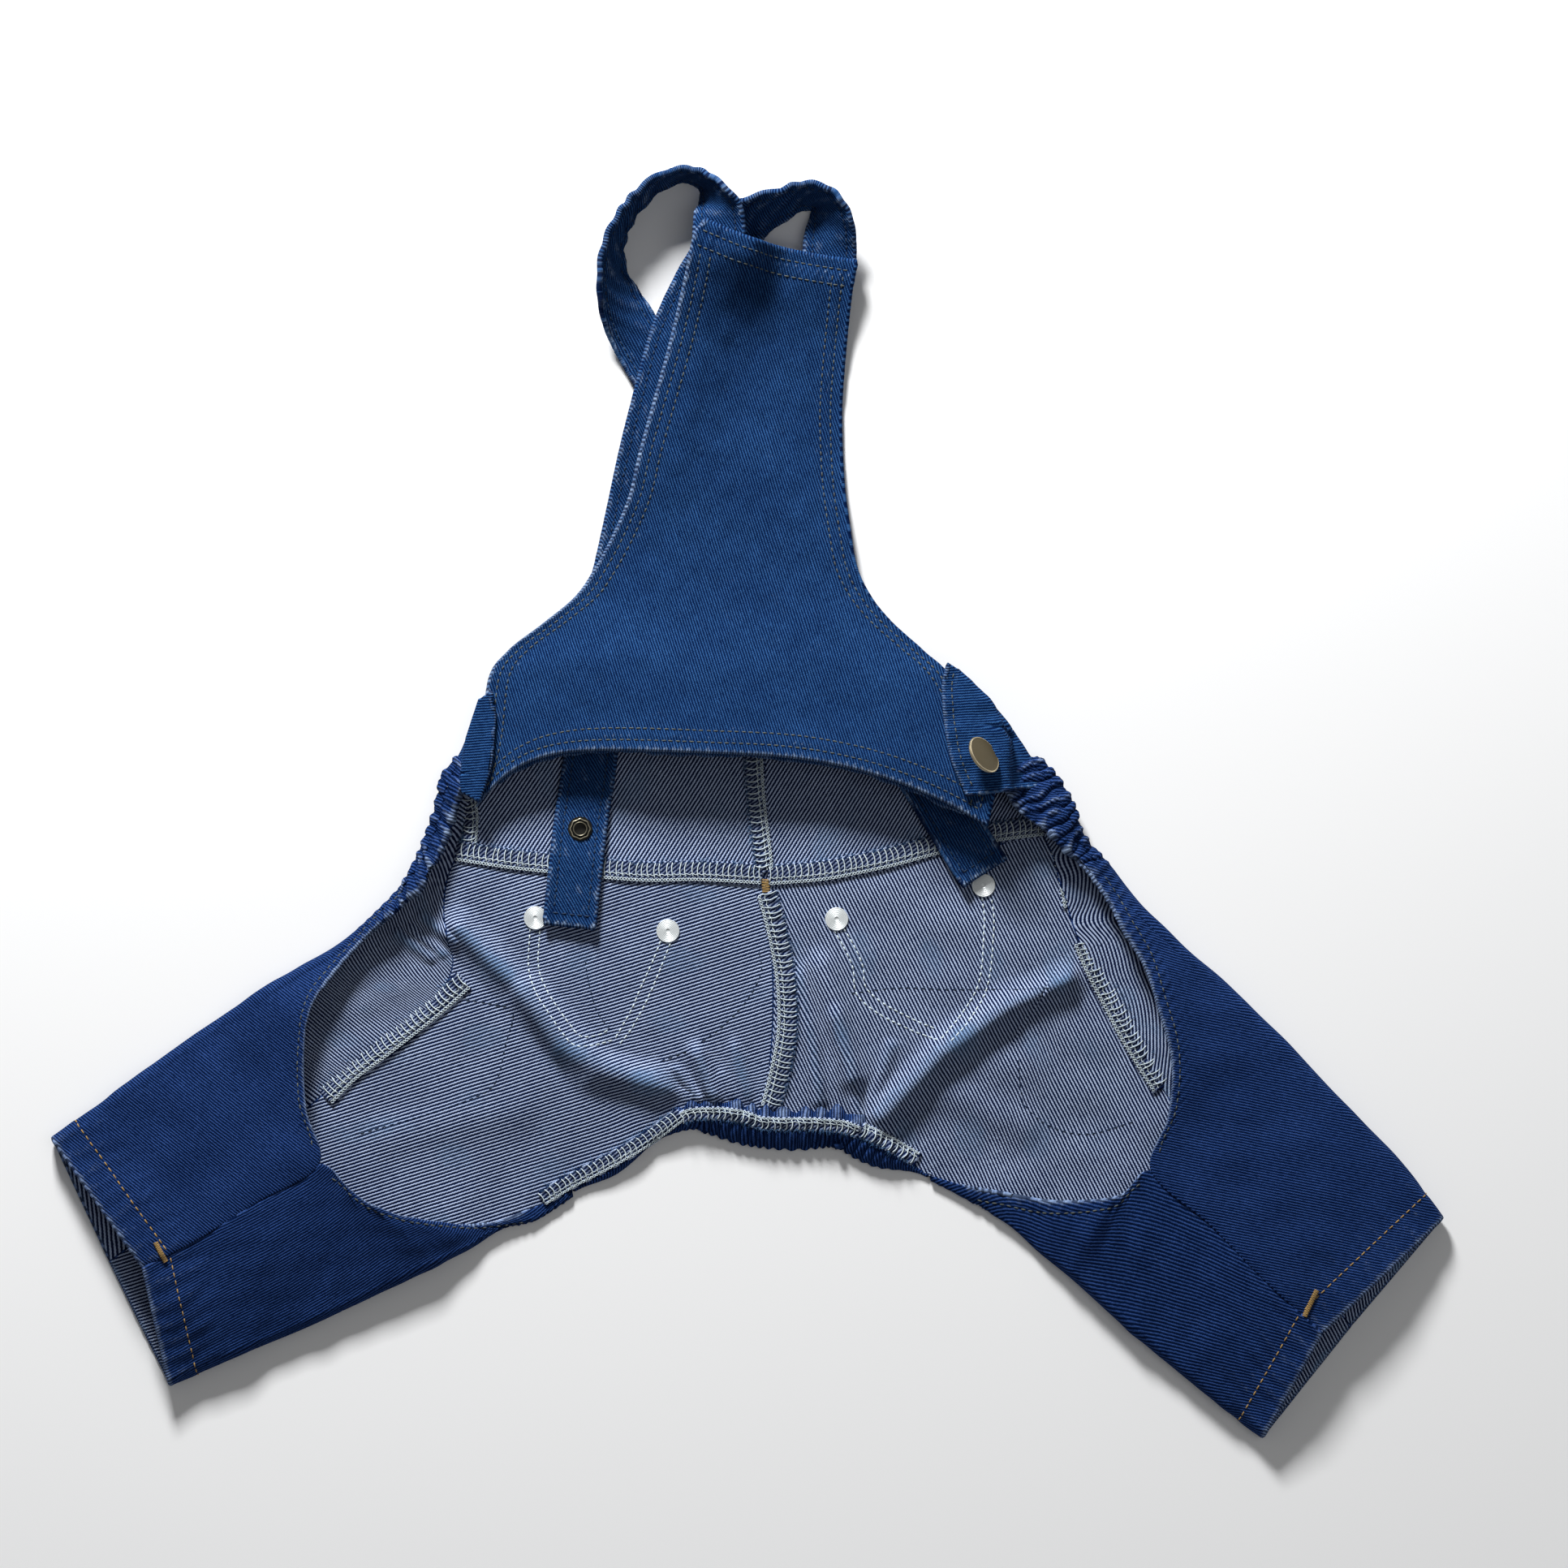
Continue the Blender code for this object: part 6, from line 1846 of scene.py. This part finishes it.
STUD_RADIUS = 0.0042
STUD_SIDES = 64
STUD_PROFILE = [(0.80, 0.0), (0.97, 0.04), (1.0, 0.09), (0.97, 0.13), (0.92, 0.12), (0.89, 0.13), (0.87, 0.28),
                (0.83, 0.31), (0.78, 0.30), (0.74, 0.20), (0.66, 0.19), (0.60, 0.22), (0.58, 0.34), (0.545, 0.38),
                (0.50, 0.34), (0.48, 0.12), (0.20, 0.09), (0.06, 0.09)]
SCALLOPS = ((1, 0.975), (2, 0.945), (3, 0.92), (4, 0.91), (5, 0.92), (6, 0.945), (7, 0.975))


def scallop(obj, band):
    """Draws columns of a ring inward, so that its outline has eight points."""
    for offset, scale in SCALLOPS:
        bpy.ops.object.mode_set(mode="EDIT")
        bpy.ops.mesh.select_all(action="DESELECT")
        bpy.ops.object.mode_set(mode="OBJECT")
        for vertex in obj.data.vertices:
            column = round(math.atan2(vertex.co.y, vertex.co.x) / (2 * math.pi) * STUD_SIDES) % 8
            radius = math.hypot(vertex.co.x, vertex.co.y) / STUD_RADIUS
            vertex.select = column == offset and band[0] < radius < band[1]
        bpy.ops.object.mode_set(mode="EDIT")
        bpy.ops.transform.resize(value=(scale, scale, 1.0), center_override=(0.0, 0.0, 0.0))
        bpy.ops.object.mode_set(mode="OBJECT")


stud = turned_piece("ring_stud_face", [(r * STUD_RADIUS, h * STUD_RADIUS) for r, h in STUD_PROFILE], STUD_SIDES,
                    DARK_STEEL)
second_finish(stud, OLIVE_EDGE, lambda radius, height: height > 0.285 * STUD_RADIUS)
scallop(stud, (0.70, 0.90))
centre = middle_of("strap_stud_right")
strap_top = Felt([cloth["strap_cloth_right"]])
level = strap_top.highest(centre.x - ORIGIN[0], centre.y - ORIGIN[1], STUD_RADIUS * 0.5)
set_piece(stud, (centre.x, centre.y, level - 0.0002))
metal_pieces["strap_stud_right"] = stud
print("stud and cap, mm:", [round(v * 2000, 1) for v in (STUD_RADIUS, SNAP_RADIUS)])

for node, piece in metal_pieces.items():
    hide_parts(node)
    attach(piece, "root")
for side in SIDES:
    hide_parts("front_" + side.name, "side_casing_" + side.name)
    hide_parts("seat_" + side.name)
    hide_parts("yoke_" + side.name)
    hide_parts("side_tab_" + side.name)
    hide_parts("strap_" + side.name)
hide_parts("bib")
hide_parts("crotch_casing")
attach(bib_lip, "root")
for name, obj in cloth.items():
    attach(obj, "root")
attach(crotch, "root")
for name, obj in [*ridges.items(), *thread_objects.items()]:
    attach(obj, "root")
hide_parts("overlock_yoke_left")
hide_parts("overlock_yoke_right")
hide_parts("overlock_centre_upper")
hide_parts("overlock_centre_lower")
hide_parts("overlock_side_left")
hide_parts("overlock_side_right")

# %% [markdown]
# Each panel was cut flat before it was sewn. The flat width and length are the longest rows and
# columns of its grid, and the area is the sum of its small quads.

def flat_size(panel, ease=1.0, layers=1):
    """Width, length and area of a panel as it was cut, with ease for gathers and layers where it is doubled."""
    ahead, across = panel.grid[1:, :-1] - panel.grid[:-1, :-1], panel.grid[:-1, 1:] - panel.grid[:-1, :-1]
    area = np.linalg.norm(np.cross(ahead, across), axis=2).sum() * ease
    width, length, area = panel.across.max() * layers, panel.along.max() * ease, area * layers
    return (float(width), float(length)), float(area)


for side in SIDES:
    name = side.name
    for kind, panels, held, under in (("front", fronts, "laid", "seat_cloth_"), ("seat", seats, "laid", "pocket_"),
                                      ("yoke", yokes, "laid", "seat_cloth_"), ("tab", tabs, "folded", "front_cloth_"),
                                      ("strap", straps, "folded", "bib_cloth")):
        flat, area = flat_size(panels[name])
        print(kind, name, "flat, mm:", [round(v * 1000) for v in flat], "cm2:", round(area * 1e4))
flat, area = flat_size(bib)
print("bib flat, mm:", [round(v * 1000) for v in flat], "cm2:", round(area * 1e4))
flat, area = flat_size(crotch_panel, 1.2, 2)
print("crotch flat, mm:", [round(v * 1000) for v in flat], "cm2:", round(area * 1e4))
